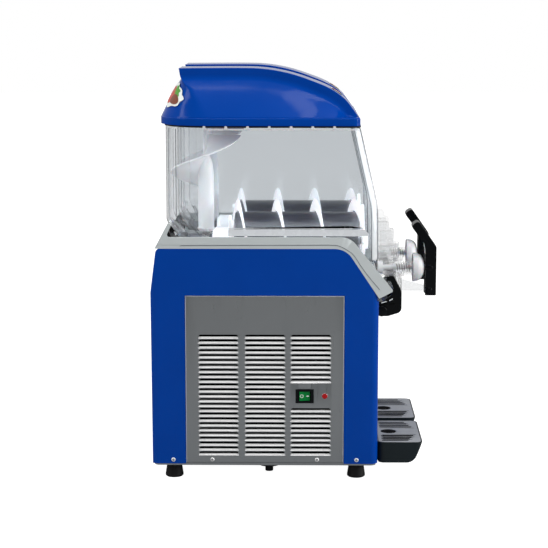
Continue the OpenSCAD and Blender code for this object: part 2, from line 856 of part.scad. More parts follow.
// Poppet, rod, spring collar and cross pin, in one piece
module tap_piston(s) {
  color(white) translate([s * bowl_x, 0, tap_z]) {
    bar_y(13, -236, -226, 0, 0);
    bar_y(5, -331, -230, 0, 0);
    bar_y(8, -262, -259, 0, 0);
    bar_x(pin_r, 25, hinge_y, 0);
  }
}

module left_tap_piston() tap_piston(-1);
module right_tap_piston() tap_piston(1);

module tap_cap(s) {
  color(white) translate([s * bowl_x, 0, tap_z]) turned_y([
    [5.02, -318.8], [10, -318.8], [18, -317], [24, -312.5], [27.5, -306], [cap_d / 2, -299], [cap_d / 2, -296],
    [cap_d / 2 - 2.5, -296], [cap_d / 2 - 3, -303], [12, -311], [12, -297], [8, -295.4], [5.02, -295.4]
  ]);
}

module left_tap_cap() tap_cap(-1);
module right_tap_cap() tap_cap(1);

spring_y0 = -291.5;
spring_y1 = -262.3;

module tap_spring(s) {
  turns = 6;
  color(steel) translate([s * bowl_x, spring_y1, tap_z]) rotate([90, 0, 0])
    linear_extrude(spring_y1 - spring_y0, twist = -360 * turns, slices = turns * 12, segments = 4)
      translate([6.7, 0]) polygon([[-0.7, -1.8], [0.7, -1.8], [0.7, 1.8], [-0.7, 1.8]]);
}

module left_tap_spring() tap_spring(-1);
module right_tap_spring() tap_spring(1);

module tap_handle(s) {
  w = handle_w / 2;
  cheek = 13;
  color(black) translate([s * bowl_x, 0, 0]) difference() {
    side_slab([[handle_front, 357.7, 2], [handle_front, 456, 9], [-306, 508, 6], [-291, 498, 7],
      [-318, 462, 6], [-320.6, 448, 4], [-320.6, 357.7, 2]], -w, w);
    block([-cheek, -338.5, 350], [cheek, -310, 440]);
    bar_x(pin_r + run, 60, hinge_y, hinge_z);
    for (z = [-3, 3]) {
      bar_x(pin_r + 1.4, 60, hinge_y, tap_z + z);
    }
    block([-w - 1, hinge_y - pin_r - 1.4, tap_z - 3], [w + 1, hinge_y + pin_r + 1.4, tap_z + 3]);
  }
}

module left_tap_handle() tap_handle(-1);
module right_tap_handle() tap_handle(1);

module handle_pin(s) {
  color(steel) bar_x(pin_r - 0.02, handle_w + 3, hinge_y, hinge_z, s * bowl_x);
}

module left_handle_pin() handle_pin(-1);
module right_handle_pin() handle_pin(1);

fork_w = 14.6;

// Forked lever that hooks over the bowl's pegs on both sides of the spout, with its pivot stubs
module bowl_latch(s) {
  color(black) translate([s * bowl_x, 0, 0]) {
    difference() {
      side_slab([[-228, 316, 2], [-246, 315.5, 8], [-274, 324, 12], [-274, 366, 14], [-257, 398.5, 6],
        [-242.5, 396, 3], [-243, 388, 1.5], [-251, 388.5, 2], [-257, 372, 4], [-253, 358, 5], [-236, 345, 3],
        [-228, 345, 2]], -19.5, 19.5);
      block([-fork_w, -300, 300], [fork_w, -246, 420]);
      block([-fork_w, -300, 380], [fork_w, -240, 420]);
      for (y = [-239, -255]) {
        block([-30, y - 5, 340], [-19.5 + 3, y + 5, 342.5]);
        block([19.5 - 3, y - 5, 340], [30, y + 5, 342.5]);
      }
    }
    bar_x(pin_r, 48, latch_y, latch_z);
  }
}

module left_bowl_latch() bowl_latch(-1);
module right_bowl_latch() bowl_latch(1);

// ---- Drip trays ----

tray_y1 = -hd - 0.5;
tray_y0 = -hd - tray_out;
tray_t = 2.2;

module tray_solid(i, z1) {
  w = tray_w / 2 - i;
  intersection() {
    side_slab([[tray_y1 - i, z1, 0], [tray_y1 - i, 32 + i, 4], [tray_y0 + 18 + i, 32 + i, 22],
      [tray_y0 + i, z1, 0]], -w, w);
    plan_slab(rect(-w, w, tray_y0 + i, tray_y1 - i, 14 - i), 20, z1);
  }
}

module tray_tongues(s, grow) {
  for (k = [-1, 1]) {
    x = s * bowl_x + k * 50;
    block([x - 10 - grow, tray_y1 - 1, 58 - grow], [x + 10 + grow, -hd + 9 + grow, 61 + grow]);
  }
}

module drip_tray(s) {
  color(black) {
    translate([s * bowl_x, 0, 0]) difference() {
      tray_solid(0, tray_top);
      translate([0, 0, 0.02]) tray_solid(tray_t, tray_top);
    }
    tray_tongues(s, 0);
  }
}

module left_drip_tray() drip_tray(-1);
module right_drip_tray() drip_tray(1);

module tray_grille(s) {
  z0 = tray_top - 3.6;
  leg_z0 = 32.4 + tray_t;
  hole_y = -252;
  color(grey) translate([s * bowl_x, 0, 0]) difference() {
    union() {
      intersection() {
        tray_solid(tray_t + 0.5, tray_top);
        block([-far, -far, z0], [far, far, tray_top]);
      }
      for (x = [-1, 1], y = [tray_y0 + 40, tray_y1 - 14]) {
        translate([x * 70, y, leg_z0]) cylinder(r = 3, h = tray_top - 2 - leg_z0);
      }
    }
    translate([0, hole_y, z0 - 1]) cylinder(r = 12, h = 10);
    translate([0, hole_y, z0 + 0.6]) cylinder(r1 = 12, r2 = 17, h = 3.1);
    for (k = [-1, 1], i = [0:3]) {
      x = k * (26 + i * 13);
      block([x - 2.4, tray_y0 + 10 + i * 3, z0 - 1], [x + 2.4, tray_y1 - 12, tray_top + 1]);
    }
  }
}

module left_tray_grille() tray_grille(-1);
module right_tray_grille() tray_grille(1);

// ---- Assembly ----

module placed() translate([0, centre_y, 0]) children();

placed() base_pan();
placed() feet();
placed() left_side_shell();
placed() right_side_shell();
placed() left_vent_panel();
placed() right_vent_panel();
placed() front_panel();
placed() rear_panel();
placed() deck();
placed() compressor();
placed() condenser();
placed() fan_motor();
placed() fan_blade();
placed() switch_bezel();
placed() rocker();
placed() pilot_lamp();
placed() panel_screws();
placed() drain_spigot();
placed() cord_gland();
placed() refrigerant_lines();
placed() left_bowl();
placed() left_lid();
placed() left_rim_seal();
placed() left_evaporator();
placed() left_auger();
placed() left_lift_auger();
placed() left_auger_post();
placed() left_drive_shaft();
placed() left_gearmotor();
placed() left_bowl_seal();
placed() left_tap_body();
placed() left_tap_piston();
placed() left_tap_cap();
placed() left_tap_spring();
placed() left_tap_handle();
placed() left_handle_pin();
placed() left_bowl_latch();
placed() left_rear_clips();
placed() left_drip_tray();
placed() left_tray_grille();
placed() right_bowl();
placed() right_lid();
placed() right_rim_seal();
placed() right_evaporator();
placed() right_auger();
placed() right_lift_auger();
placed() right_auger_post();
placed() right_drive_shaft();
placed() right_gearmotor();
placed() right_bowl_seal();
placed() right_tap_body();
placed() right_tap_piston();
placed() right_tap_cap();
placed() right_tap_spring();
placed() right_tap_handle();
placed() right_handle_pin();
placed() right_bowl_latch();
placed() right_rear_clips();
placed() right_drip_tray();
placed() right_tray_grille();
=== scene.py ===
"""Looks of a two-bowl slush machine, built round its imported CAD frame."""

import math

import bmesh
import bpy
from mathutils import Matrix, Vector


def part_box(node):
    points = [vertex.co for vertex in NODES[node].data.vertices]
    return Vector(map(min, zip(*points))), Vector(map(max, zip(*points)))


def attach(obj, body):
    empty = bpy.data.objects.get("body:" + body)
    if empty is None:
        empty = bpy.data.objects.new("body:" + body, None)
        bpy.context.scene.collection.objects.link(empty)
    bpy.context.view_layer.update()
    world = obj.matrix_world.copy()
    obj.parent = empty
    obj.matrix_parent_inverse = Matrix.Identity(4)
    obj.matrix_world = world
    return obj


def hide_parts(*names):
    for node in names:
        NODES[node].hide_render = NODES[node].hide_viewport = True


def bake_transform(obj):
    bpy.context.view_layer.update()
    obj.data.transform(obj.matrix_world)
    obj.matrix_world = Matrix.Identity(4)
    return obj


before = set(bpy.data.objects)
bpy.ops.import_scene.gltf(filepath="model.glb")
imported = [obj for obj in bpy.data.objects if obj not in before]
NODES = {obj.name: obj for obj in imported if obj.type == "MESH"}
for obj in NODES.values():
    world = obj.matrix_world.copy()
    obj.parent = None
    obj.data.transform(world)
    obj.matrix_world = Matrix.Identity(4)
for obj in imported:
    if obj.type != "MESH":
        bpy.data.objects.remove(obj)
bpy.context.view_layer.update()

# ---------------------------------------------------------------- places taken from the frame
MM = 0.001
SHELL_FRONT = 225.0  # the cabinet's half depth, mm
Y0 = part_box("left_side_shell")[0].y + SHELL_FRONT * MM  # the cabinet's middle
SIDES = {"left": -1, "right": 1}


def middle(node):
    low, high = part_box(node)
    return (low + high) / 2


BOWL_X = {side: middle(side + "_bowl").x / MM for side in SIDES}

# Sizes below are millimetres about the cabinet's middle; build() puts them in the frame, in metres.


def point(x, y, z):
    return Vector((x * MM, y * MM + Y0, z * MM))


# ---------------------------------------------------------------- mesh helpers
def build(name, verts, faces):
    """A mesh object from millimetre points, welded and with its normals outwards."""
    mesh = bpy.data.meshes.new(name)
    mesh.from_pydata([point(*v) for v in verts], [], faces)
    bm = bmesh.new()
    bm.from_mesh(mesh)
    bmesh.ops.remove_doubles(bm, verts=bm.verts, dist=1e-6)
    bmesh.ops.recalc_face_normals(bm, faces=bm.faces)
    bm.to_mesh(mesh)
    bm.free()
    obj = bpy.data.objects.new(name, mesh)
    bpy.context.scene.collection.objects.link(obj)
    return obj


def corner_points(a, p, b, n):
    """Points of the rounded corner p = (x, y, radius) between its neighbours."""
    c = Vector(p[:2])
    if p[2] == 0:
        return [c]
    u = (Vector(a[:2]) - c).normalized()
    v = (Vector(b[:2]) - c).normalized()
    half = math.acos(max(-1, min(1, u.dot(v)))) / 2
    m = c + (u + v).normalized() * p[2] / math.sin(half)
    s = c + u * p[2] / math.tan(half) - m
    e = c + v * p[2] / math.tan(half) - m
    a0 = math.atan2(s.y, s.x)
    sweep = (math.atan2(e.y, e.x) - a0 + math.pi) % (2 * math.pi) - math.pi
    return [m + p[2] * Vector((math.cos(a0 + sweep * i / n), math.sin(a0 + sweep * i / n)))
            for i in range(n + 1)]


def outline(pts, n=8):
    """A closed outline with each corner (x, y, radius) rounded in n steps."""
    k = len(pts)
    return [q for i in range(k) for q in corner_points(pts[i - 1], pts[i], pts[(i + 1) % k], n)]


def prism(name, pts, lo, hi, axis="x"):
    """An outline carried along an axis: (y, z) along x, (x, z) along y or (x, y) along z."""
    place = {"x": lambda q, t: (t, q[0], q[1]),
             "y": lambda q, t: (q[0], t, q[1]),
             "z": lambda q, t: (q[0], q[1], t)}
    k = len(pts)
    verts = [place[axis](q, t) for t in (lo, hi) for q in pts]
    faces = [tuple(range(k)), tuple(range(2 * k - 1, k - 1, -1))]
    faces += [(i, (i + 1) % k, k + (i + 1) % k, k + i) for i in range(k)]
    return build(name, verts, faces)


def grid_faces(rows, cols, wrap_cols=False, wrap_rows=False):
    """The quads of a grid of points, closed on itself where asked."""
    faces = []
    for i in range(rows if wrap_rows else rows - 1):
        for j in range(cols if wrap_cols else cols - 1):
            a, b = i * cols + j, i * cols + (j + 1) % cols
            c, d = ((i + 1) % rows) * cols + (j + 1) % cols, ((i + 1) % rows) * cols + j
            faces.append((a, b, c, d))
    return faces


def loft(name, rings):
    """A skin through closed rings of equal length, with its ends closed."""
    rows, cols = len(rings), len(rings[0])
    faces = grid_faces(rows, cols, wrap_cols=True)
    faces += [tuple(range(cols)), tuple(range(rows * cols - 1, (rows - 1) * cols - 1, -1))]
    return build(name, [v for ring in rings for v in ring], faces)


def lathe(name, profile, centre, axis="y", segments=64, closed=False):
    """Turns (radius, along) points about a line through centre."""
    verts = []
    for i in range(segments):
        a = 2 * math.pi * i / segments
        for r, t in profile:
            u, v = r * math.cos(a), r * math.sin(a)
            offset = {"x": (t, u, v), "y": (u, t, v), "z": (u, v, t)}[axis]
            verts.append(tuple(c + o for c, o in zip(centre, offset)))
    faces = grid_faces(segments, len(profile), wrap_cols=closed, wrap_rows=True)
    return build(name, verts, faces)


def tube(name, pts, radius, sides=8):
    """A round bar swept along points."""
    pts = [Vector(p) for p in pts]
    rings, up = [], Vector((0.13, 0.31, 0.94))
    for i, p in enumerate(pts):
        before, after = pts[max(i - 1, 0)], pts[min(i + 1, len(pts) - 1)]
        t = (after - before).normalized()
        side = t.cross(up).normalized()
        up = side.cross(t).normalized()
        rings.append([tuple(p + radius * (math.cos(a) * side + math.sin(a) * up))
                      for a in (2 * math.pi * j / sides for j in range(sides))])
    return loft(name, rings)


def join(name, objects):
    """One object out of several."""
    bm = bmesh.new()
    for o in objects:
        bm.from_mesh(o.data)
        bpy.data.objects.remove(o)
    mesh = bpy.data.meshes.new(name)
    bm.to_mesh(mesh)
    bm.free()
    obj = bpy.data.objects.new(name, mesh)
    bpy.context.scene.collection.objects.link(obj)
    return obj


def smooth(obj, angle=35):
    """Smooth shading, with the edges sharper than angle left crisp."""
    for poly in obj.data.polygons:
        poly.use_smooth = True
    mod = obj.modifiers.new("edges", "EDGE_SPLIT")
    mod.split_angle = math.radians(angle)


def soften(obj, width, segments=3, angle=32):
    """Rounds the sharp edges of a mesh with a small bevel."""
    weld = obj.modifiers.new("weld", "WELD")
    weld.merge_threshold = 1e-5
    bevel = obj.modifiers.new("bevel", "BEVEL")
    bevel.width = width * MM
    bevel.segments = segments
    bevel.limit_method = "ANGLE"
    bevel.angle_limit = math.radians(angle)
    bevel.use_clamp_overlap = True
    bevel.harden_normals = True
    for poly in obj.data.polygons:
        poly.use_smooth = True


# ---------------------------------------------------------------- materials
def linear(r, g, b):
    """Colour from 0-255 display values."""
    def one(c):
        c /= 255
        return c / 12.92 if c <= 0.04045 else ((c + 0.055) / 1.055) ** 2.4
    return (one(r), one(g), one(b), 1)


class Look:
    """A principled material with helpers that drive its colour, roughness and bump from noise."""

    def __init__(self, name, colour, **sockets):
        self.mat = bpy.data.materials.new(name)
        self.mat.use_nodes = True
        self.tree = self.mat.node_tree
        self.shader = self.tree.nodes["Principled BSDF"]
        self.colour = colour
        self.shader.inputs["Base Color"].default_value = colour
        for key, value in sockets.items():
            self.shader.inputs[key.replace("_", " ")].default_value = value

    def add(self, kind, **values):
        node = self.tree.nodes.new("ShaderNode" + kind)
        for key, value in values.items():
            if key in node.inputs:
                node.inputs[key].default_value = value
            else:
                setattr(node, key, value)
        return node

    def link(self, a, b):
        self.tree.links.new(a, b)

    def coords(self, stretch=(1, 1, 1)):
        where = self.add("TexCoord")
        mapping = self.add("Mapping")
        mapping.inputs["Scale"].default_value = stretch
        self.link(where.outputs["Object"], mapping.inputs["Vector"])
        return mapping.outputs["Vector"]

    def noise(self, scale, detail=4, stretch=(1, 1, 1)):
        n = self.add("TexNoise", Scale=scale, Detail=detail)
        self.link(self.coords(stretch), n.inputs["Vector"])
        return n.outputs["Fac"]

    def ramp(self, source, stops):
        r = self.add("ValToRGB")
        elements = r.color_ramp.elements
        for element, (position, colour) in zip(elements, stops):
            element.position = position
            element.color = colour
        self.link(source, r.inputs["Fac"])
        return r.outputs["Color"]

    def vary_colour(self, source, low, high):
        """Scales the base colour between low and high with a noise."""
        stops = [(at, [c * scale for c in self.colour[:3]] + [1]) for at, scale in ((0.3, low), (0.7, high))]
        self.link(self.ramp(source, stops), self.shader.inputs["Base Color"])

    def vary_roughness(self, source, low, high):
        """Carries the roughness between low and high with a noise."""
        m = self.add("MapRange")
        for key, value in (("From Min", 0.3), ("From Max", 0.7), ("To Min", low), ("To Max", high)):
            m.inputs[key].default_value = value
        self.link(source, m.inputs["Value"])
        self.link(m.outputs["Result"], self.shader.inputs["Roughness"])

    def bump(self, source, strength, distance):
        b = self.add("Bump", Strength=strength, Distance=distance)
        self.link(source, b.inputs["Height"])
        self.link(b.outputs["Normal"], self.shader.inputs["Normal"])


def moulded(name, colour, rough, grain=900, depth=0.00006, spread=0.06, **sockets):
    """Injection-moulded plastic: fine texture, faint mottling and uneven gloss."""
    look = Look(name, colour, Roughness=rough, **sockets)
    look.vary_colour(look.noise(14, 3), 1 - spread, 1 + spread)
    look.vary_roughness(look.noise(55, 5), rough * 0.8, rough * 1.25)
    look.bump(look.noise(grain, 3), 0.35, depth)
    return look.mat


def brushed(name, colour, rough, stretch, low=0.9, high=1.08, bump=0.2, **sockets):
    """Brushed sheet steel: long fine scratches along one axis."""
    look = Look(name, colour, Metallic=1.0, Roughness=rough, **sockets)
    lines = look.noise(420, 4, stretch)
    look.vary_colour(lines, low, high)
    look.vary_roughness(lines, rough * 0.75, rough * 1.3)
    look.bump(lines, bump, 0.00002)
    return look.mat


def clear(name, colour, alpha, rough=0.03, ior=1.45):
    """Clear moulded plastic with faint flow marks, which lets light through to what is behind it."""
    look = Look(name, colour, Roughness=rough, IOR=ior)
    look.shader.inputs["Transmission Weight"].default_value = 1.0
    look.shader.inputs["Alpha"].default_value = alpha
    look.vary_roughness(look.noise(30, 3), rough * 0.6, rough * 1.6)
    look.bump(look.noise(38, 2), 0.12, 0.0002)
    path = look.add("LightPath")
    through = look.add("BsdfTransparent")
    through.inputs["Color"].default_value = (0.96, 0.97, 0.975, 1)
    mix = look.add("MixShader")
    look.link(path.outputs["Is Shadow Ray"], mix.inputs["Fac"])
    look.link(look.shader.outputs["BSDF"], mix.inputs[1])
    look.link(through.outputs["BSDF"], mix.inputs[2])
    look.link(mix.outputs["Shader"], look.tree.nodes["Material Output"].inputs["Surface"])
    return look.mat


M = {
    "blue": moulded("blue_plastic", linear(0, 61, 153), 0.1, 260, 0.00002, 0.03,
                    Specular_IOR_Level=0.09),
    "deck": moulded("deck_plastic", linear(190, 196, 197), 0.42, 800, 0.00005, 0.03),
    "black": moulded("black_plastic", linear(3, 5, 8), 0.22, 700, 0.00006, 0.12,
                     Specular_IOR_Level=0.16),
    "tray": moulded("tray_plastic", linear(22, 30, 34), 0.4, 700, 0.00007, 0.1,
                    Specular_IOR_Level=0.2),
    "grille": moulded("grille_plastic", linear(146, 149, 152), 0.45, 700, 0.00005, 0.05,
                      Specular_IOR_Level=0.2),
    "rubber": moulded("foot_rubber", linear(12, 12, 13), 0.6, 500, 0.0001, 0.15,
                      Specular_IOR_Level=0.3),
    # a white copy of the steel: painted highlight on the louvre slopes, the panel's rounded edge and the screw
    # rims
    "lip": moulded("steel_painted_highlight", linear(250, 250, 250), 0.34, 300, 0.000005, 0.01, Metallic=0.15),
    "skirt": moulded("bowl_skirt", linear(214, 217, 221), 0.25, 300, 0.00001, 0.02),
    # the next three: painted highlight, painted reflection and painted shade laid on the bowls; the dark one also
    # colours the deck's seam
    "glint": moulded("bowl_painted_glint", linear(240, 243, 245), 0.25, 300, 0.00001, 0.01, Alpha=0.45),
    "painted_reflection": moulded("painted_rear_reflection", linear(236, 239, 242), 0.3, 300, 0.00001, 0.01, Alpha=0.16),
    "shade": moulded("painted_shade_and_seam", linear(112, 117, 124), 0.3, 300, 0.00001, 0.02, Alpha=0.75),
    "white": moulded("tap_white", linear(214, 215, 217), 0.3, 500, 0.00003, 0.02, Subsurface_Weight=0.2,
                     Subsurface_Scale=0.004),
    "seal": moulded("seal_rubber", linear(104, 105, 108), 0.55, 500, 0.00006, 0.08),
    "dark_paint": moulded("dark_paint", linear(26, 27, 29), 0.42, 300, 0.00008, 0.12),
    "steel": brushed("brushed_steel", linear(163, 167, 170), 0.36, (0.6, 1, 0.03), 0.975, 1.02, 0.07),
    "drum": brushed("drum_steel", linear(142, 146, 153), 0.42, (1, 0.04, 1), 0.72, 1.12),
    "pin": brushed("turned_steel", linear(180, 181, 183), 0.28, (1, 1, 1)),
    "copper": brushed("copper_tube", linear(200, 120, 80), 0.3, (1, 1, 1)),
    "fins": brushed("aluminium_fins", linear(190, 193, 196), 0.35, (1, 1, 0.05)),
    "bowl": clear("clear_bowl", (0.915, 0.93, 0.942, 1), 1.0, 0.02),
    "tap": clear("clear_tap", (0.93, 0.945, 0.955, 1), 0.35, 0.05),
    "spring": brushed("spring_wire", linear(105, 98, 90), 0.3, (1, 1, 1)),
    "green": moulded("green_switch", linear(6, 118, 52), 0.22, 300, 0.00002, 0.05,
                     Specular_IOR_Level=0.12),
    "red": moulded("red_lens", linear(165, 16, 22), 0.18, 300, 0.00002, 0.05,
                   Specular_IOR_Level=0.25),
    # print on the switch and stickers; in the latch slots the same white is painted light
    "mark": moulded("print_and_painted_light_white", linear(235, 240, 236), 0.4, 300, 0.00002, 0.02),
    "fruit": moulded("sticker_red", linear(196, 60, 48), 0.35, 300, 0.00002, 0.1),
    "leaf": moulded("sticker_green", linear(78, 158, 42), 0.35, 300, 0.00002, 0.12),
    "seed": moulded("sticker_brown", linear(120, 58, 30), 0.35, 300, 0.00002, 0.12),
    # painted shade: black for the sheet behind the vents, the grille's dark openings and the screw recesses
    "dark": moulded("painted_shade_black", linear(3, 3, 4), 0.8, 300, 0.00004, 0.1, Specular_IOR_Level=0.05),
}
# The screws' white glows a little (emission 0.6 on the lying screw, 0.16 on the standing one): painted light so
# they read white through the bowls.
for key, grey, glow in (("auger", 230, 0.6), ("lift", 212, 0.16)):
    look = Look(key + "_white", linear(grey - 2, grey, grey + 3), Roughness=0.38, Specular_IOR_Level=0.3)
    look.shader.inputs["Subsurface Weight"].default_value = 0.25
    look.shader.inputs["Subsurface Scale"].default_value = 0.006
    look.shader.inputs["Emission Color"].default_value = (0.94, 0.96, 1, 1)
    look.shader.inputs["Emission Strength"].default_value = glow
    look.vary_roughness(look.noise(60, 3), 0.3, 0.48)
    look.bump(look.noise(500, 3), 0.25, 0.00004)
    M[key] = look.mat


def dress(obj, material, body, slot, *replaced):
    """Gives a new piece its material and body, and names the CAD nodes it stands for, which it hides; slot is not
    used.
    """
    obj.data.materials.clear()
    obj.data.materials.append(M[material])
    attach(obj, body)
    if replaced:
        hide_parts(*replaced)
    return obj


def keep(node, material, bevel=0.0, segments=3):
    """Keeps a CAD node, with its edges rounded and a better material."""
    obj = NODES[node]
    obj.data.materials.clear()
    obj.data.materials.append(M[material])
    if bevel:
        soften(obj, bevel, segments)
        shade = obj.modifiers.new("shade", "WEIGHTED_NORMAL")
        shade.weight = 100
    else:
        smooth(obj)
    return obj


def crisp(obj, least=3000):
    """Keeps large plane regions flat-shaded, so clear walls bend light evenly."""
    groups = {}
    for poly in obj.data.polygons:
        n = poly.normal
        key = (round(n.x, 2), round(n.y, 2), round(n.z, 2), round(n.dot(poly.center) / MM))
        groups.setdefault(key, []).append(poly)
    for polys in groups.values():
        if sum(poly.area for poly in polys) > least * MM * MM:
            for poly in polys:
                poly.use_smooth = False


# ---------------------------------------------------------------- camera, light and floor
def stage():
    scene = bpy.context.scene
    scene.view_settings.view_transform = "Standard"
    cam_data = bpy.data.cameras.new("camera")
    cam_data.lens = 110.6
    cam_data.sensor_width = 36
    cam_data.clip_end = 50
    cam = bpy.data.objects.new("camera", cam_data)
    scene.collection.objects.link(cam)
    cam.location = point(-3442.8, -58.5, 938.8)
    pitch, yaw = 0.16043, 0.0121
    forward = Vector((math.cos(pitch) * math.cos(yaw), math.cos(pitch) * math.sin(yaw), -math.sin(pitch)))
    cam.rotation_euler = forward.to_track_quat("-Z", "Y").to_euler()
    scene.camera = cam

    floor = bpy.data.meshes.new("floor")
    floor.from_pydata([(-14, -14, 0), (14, -14, 0), (14, 14, 0), (-14, 14, 0)], [], [(0, 1, 2, 3)])
    floor_obj = bpy.data.objects.new("floor", floor)
    scene.collection.objects.link(floor_obj)
    pale = Look("pale_floor", (0.35, 0.35, 0.35, 1), Roughness=0.9, Specular_IOR_Level=0.05)
    pale.vary_colour(pale.noise(3, 2), 0.995, 1.005)
    pale.shader.inputs["Emission Color"].default_value = (1, 1, 1, 1)
    path = pale.add("LightPath")
    seen = pale.add("Math", operation="MAXIMUM")
    pale.link(path.outputs["Is Camera Ray"], seen.inputs[0])
    through = pale.add("Math", operation="MULTIPLY")
    through.inputs[1].default_value = 0.55
    pale.link(path.outputs["Is Transmission Ray"], through.inputs[0])
    pale.link(through.outputs["Value"], seen.inputs[1])
    pale.link(seen.outputs["Value"], pale.shader.inputs["Emission Strength"])
    floor.materials.append(pale.mat)

    def area(name, place, target, size, power):
        data = bpy.data.lights.new(name, "AREA")
        data.shape = "RECTANGLE"
        data.size, data.size_y = size
        data.energy = power
        lamp = bpy.data.objects.new(name, data)
        scene.collection.objects.link(lamp)
        lamp.location = place
        lamp.rotation_euler = (Vector(target) - Vector(place)).to_track_quat("-Z", "Y").to_euler()
        return lamp

    key = area("key_softbox", (-3.0, -1.9, 1.9), (0, 0, 0.45), (2.0, 1.8), 41)
    area("front_softbox", (-0.9, -3.2, 1.3), (0, 0, 0.4), (1.2, 1.8), 66)
    area("rear_softbox", (-1.2, 3.2, 2.0), (0, 0, 0.5), (1.6, 1.8), 55)
    key.visible_glossy = False
    area("top_strip", (-0.75, 0.0, 2.7), (0, 0, 0.6), (2.6, 0.3), 15)

    world = bpy.data.worlds.new("studio")
    scene.world = world
    world.use_nodes = True
    tree = world.node_tree
    background = tree.nodes["Background"]
    where = tree.nodes.new("ShaderNodeTexCoord")
    split = tree.nodes.new("ShaderNodeSeparateXYZ")
    tree.links.new(where.outputs["Generated"], split.inputs["Vector"])

    def slope(axis, start, stop, low, high):
        """Brightness that rises from low to high along one direction of the sky."""
        node = tree.nodes.new("ShaderNodeMapRange")
        for key, value in (("From Min", start), ("From Max", stop), ("To Min", low), ("To Max", high)):
            node.inputs[key].default_value = value
        tree.links.new(split.outputs[axis], node.inputs["Value"])
        return node.outputs["Result"]

    def brighter(a, b):
        node = tree.nodes.new("ShaderNodeMath")
        node.operation = "MAXIMUM"
        tree.links.new(a, node.inputs[0])
        tree.links.new(b, node.inputs[1])
        return node.outputs["Value"]

    path = tree.nodes.new("ShaderNodeLightPath")
    sky = brighter(slope("X", -0.5, 0.6, 0.22, 0.62), slope("Z", 0.75, 0.98, 0.2, 1.15))
    tree.links.new(brighter(path.outputs["Is Camera Ray"], sky), background.inputs["Strength"])
    background.inputs["Color"].default_value = (1, 1, 1, 1)


# ---------------------------------------------------------------- cabinet
def cabinet():
    for side in SIDES:
        keep(side + "_side_shell", "blue", 2.2, 4)
    keep("front_panel", "blue", 1.5)
    keep("rear_panel", "steel", 0.4)
    keep("base_pan", "steel", 0.5)
    keep("deck", "deck", 1.5, 3)
    keep("feet", "rubber", 0.8)
    keep("drain_spigot", "black", 0.4)
    keep("cord_gland", "black", 0.6)
    keep("compressor", "dark_paint", 1.0)
    keep("condenser", "fins", 0.2)
    keep("fan_motor", "dark_paint", 1.0)
    keep("fan_blade", "fins", 0.3)
    keep("refrigerant_lines", "copper")
    keep("switch_bezel", "black", 0.5)
    keep("rocker", "green", 0.6)
    keep("pilot_lamp", "red", 0.2)
    keep("panel_screws", "pin", 0.3)


SWITCH_HOLE = (-92.0, -67.6, 159.3, 179.5)  # y and z limits of the hole behind the switch
SWITCH_Z = 169.4


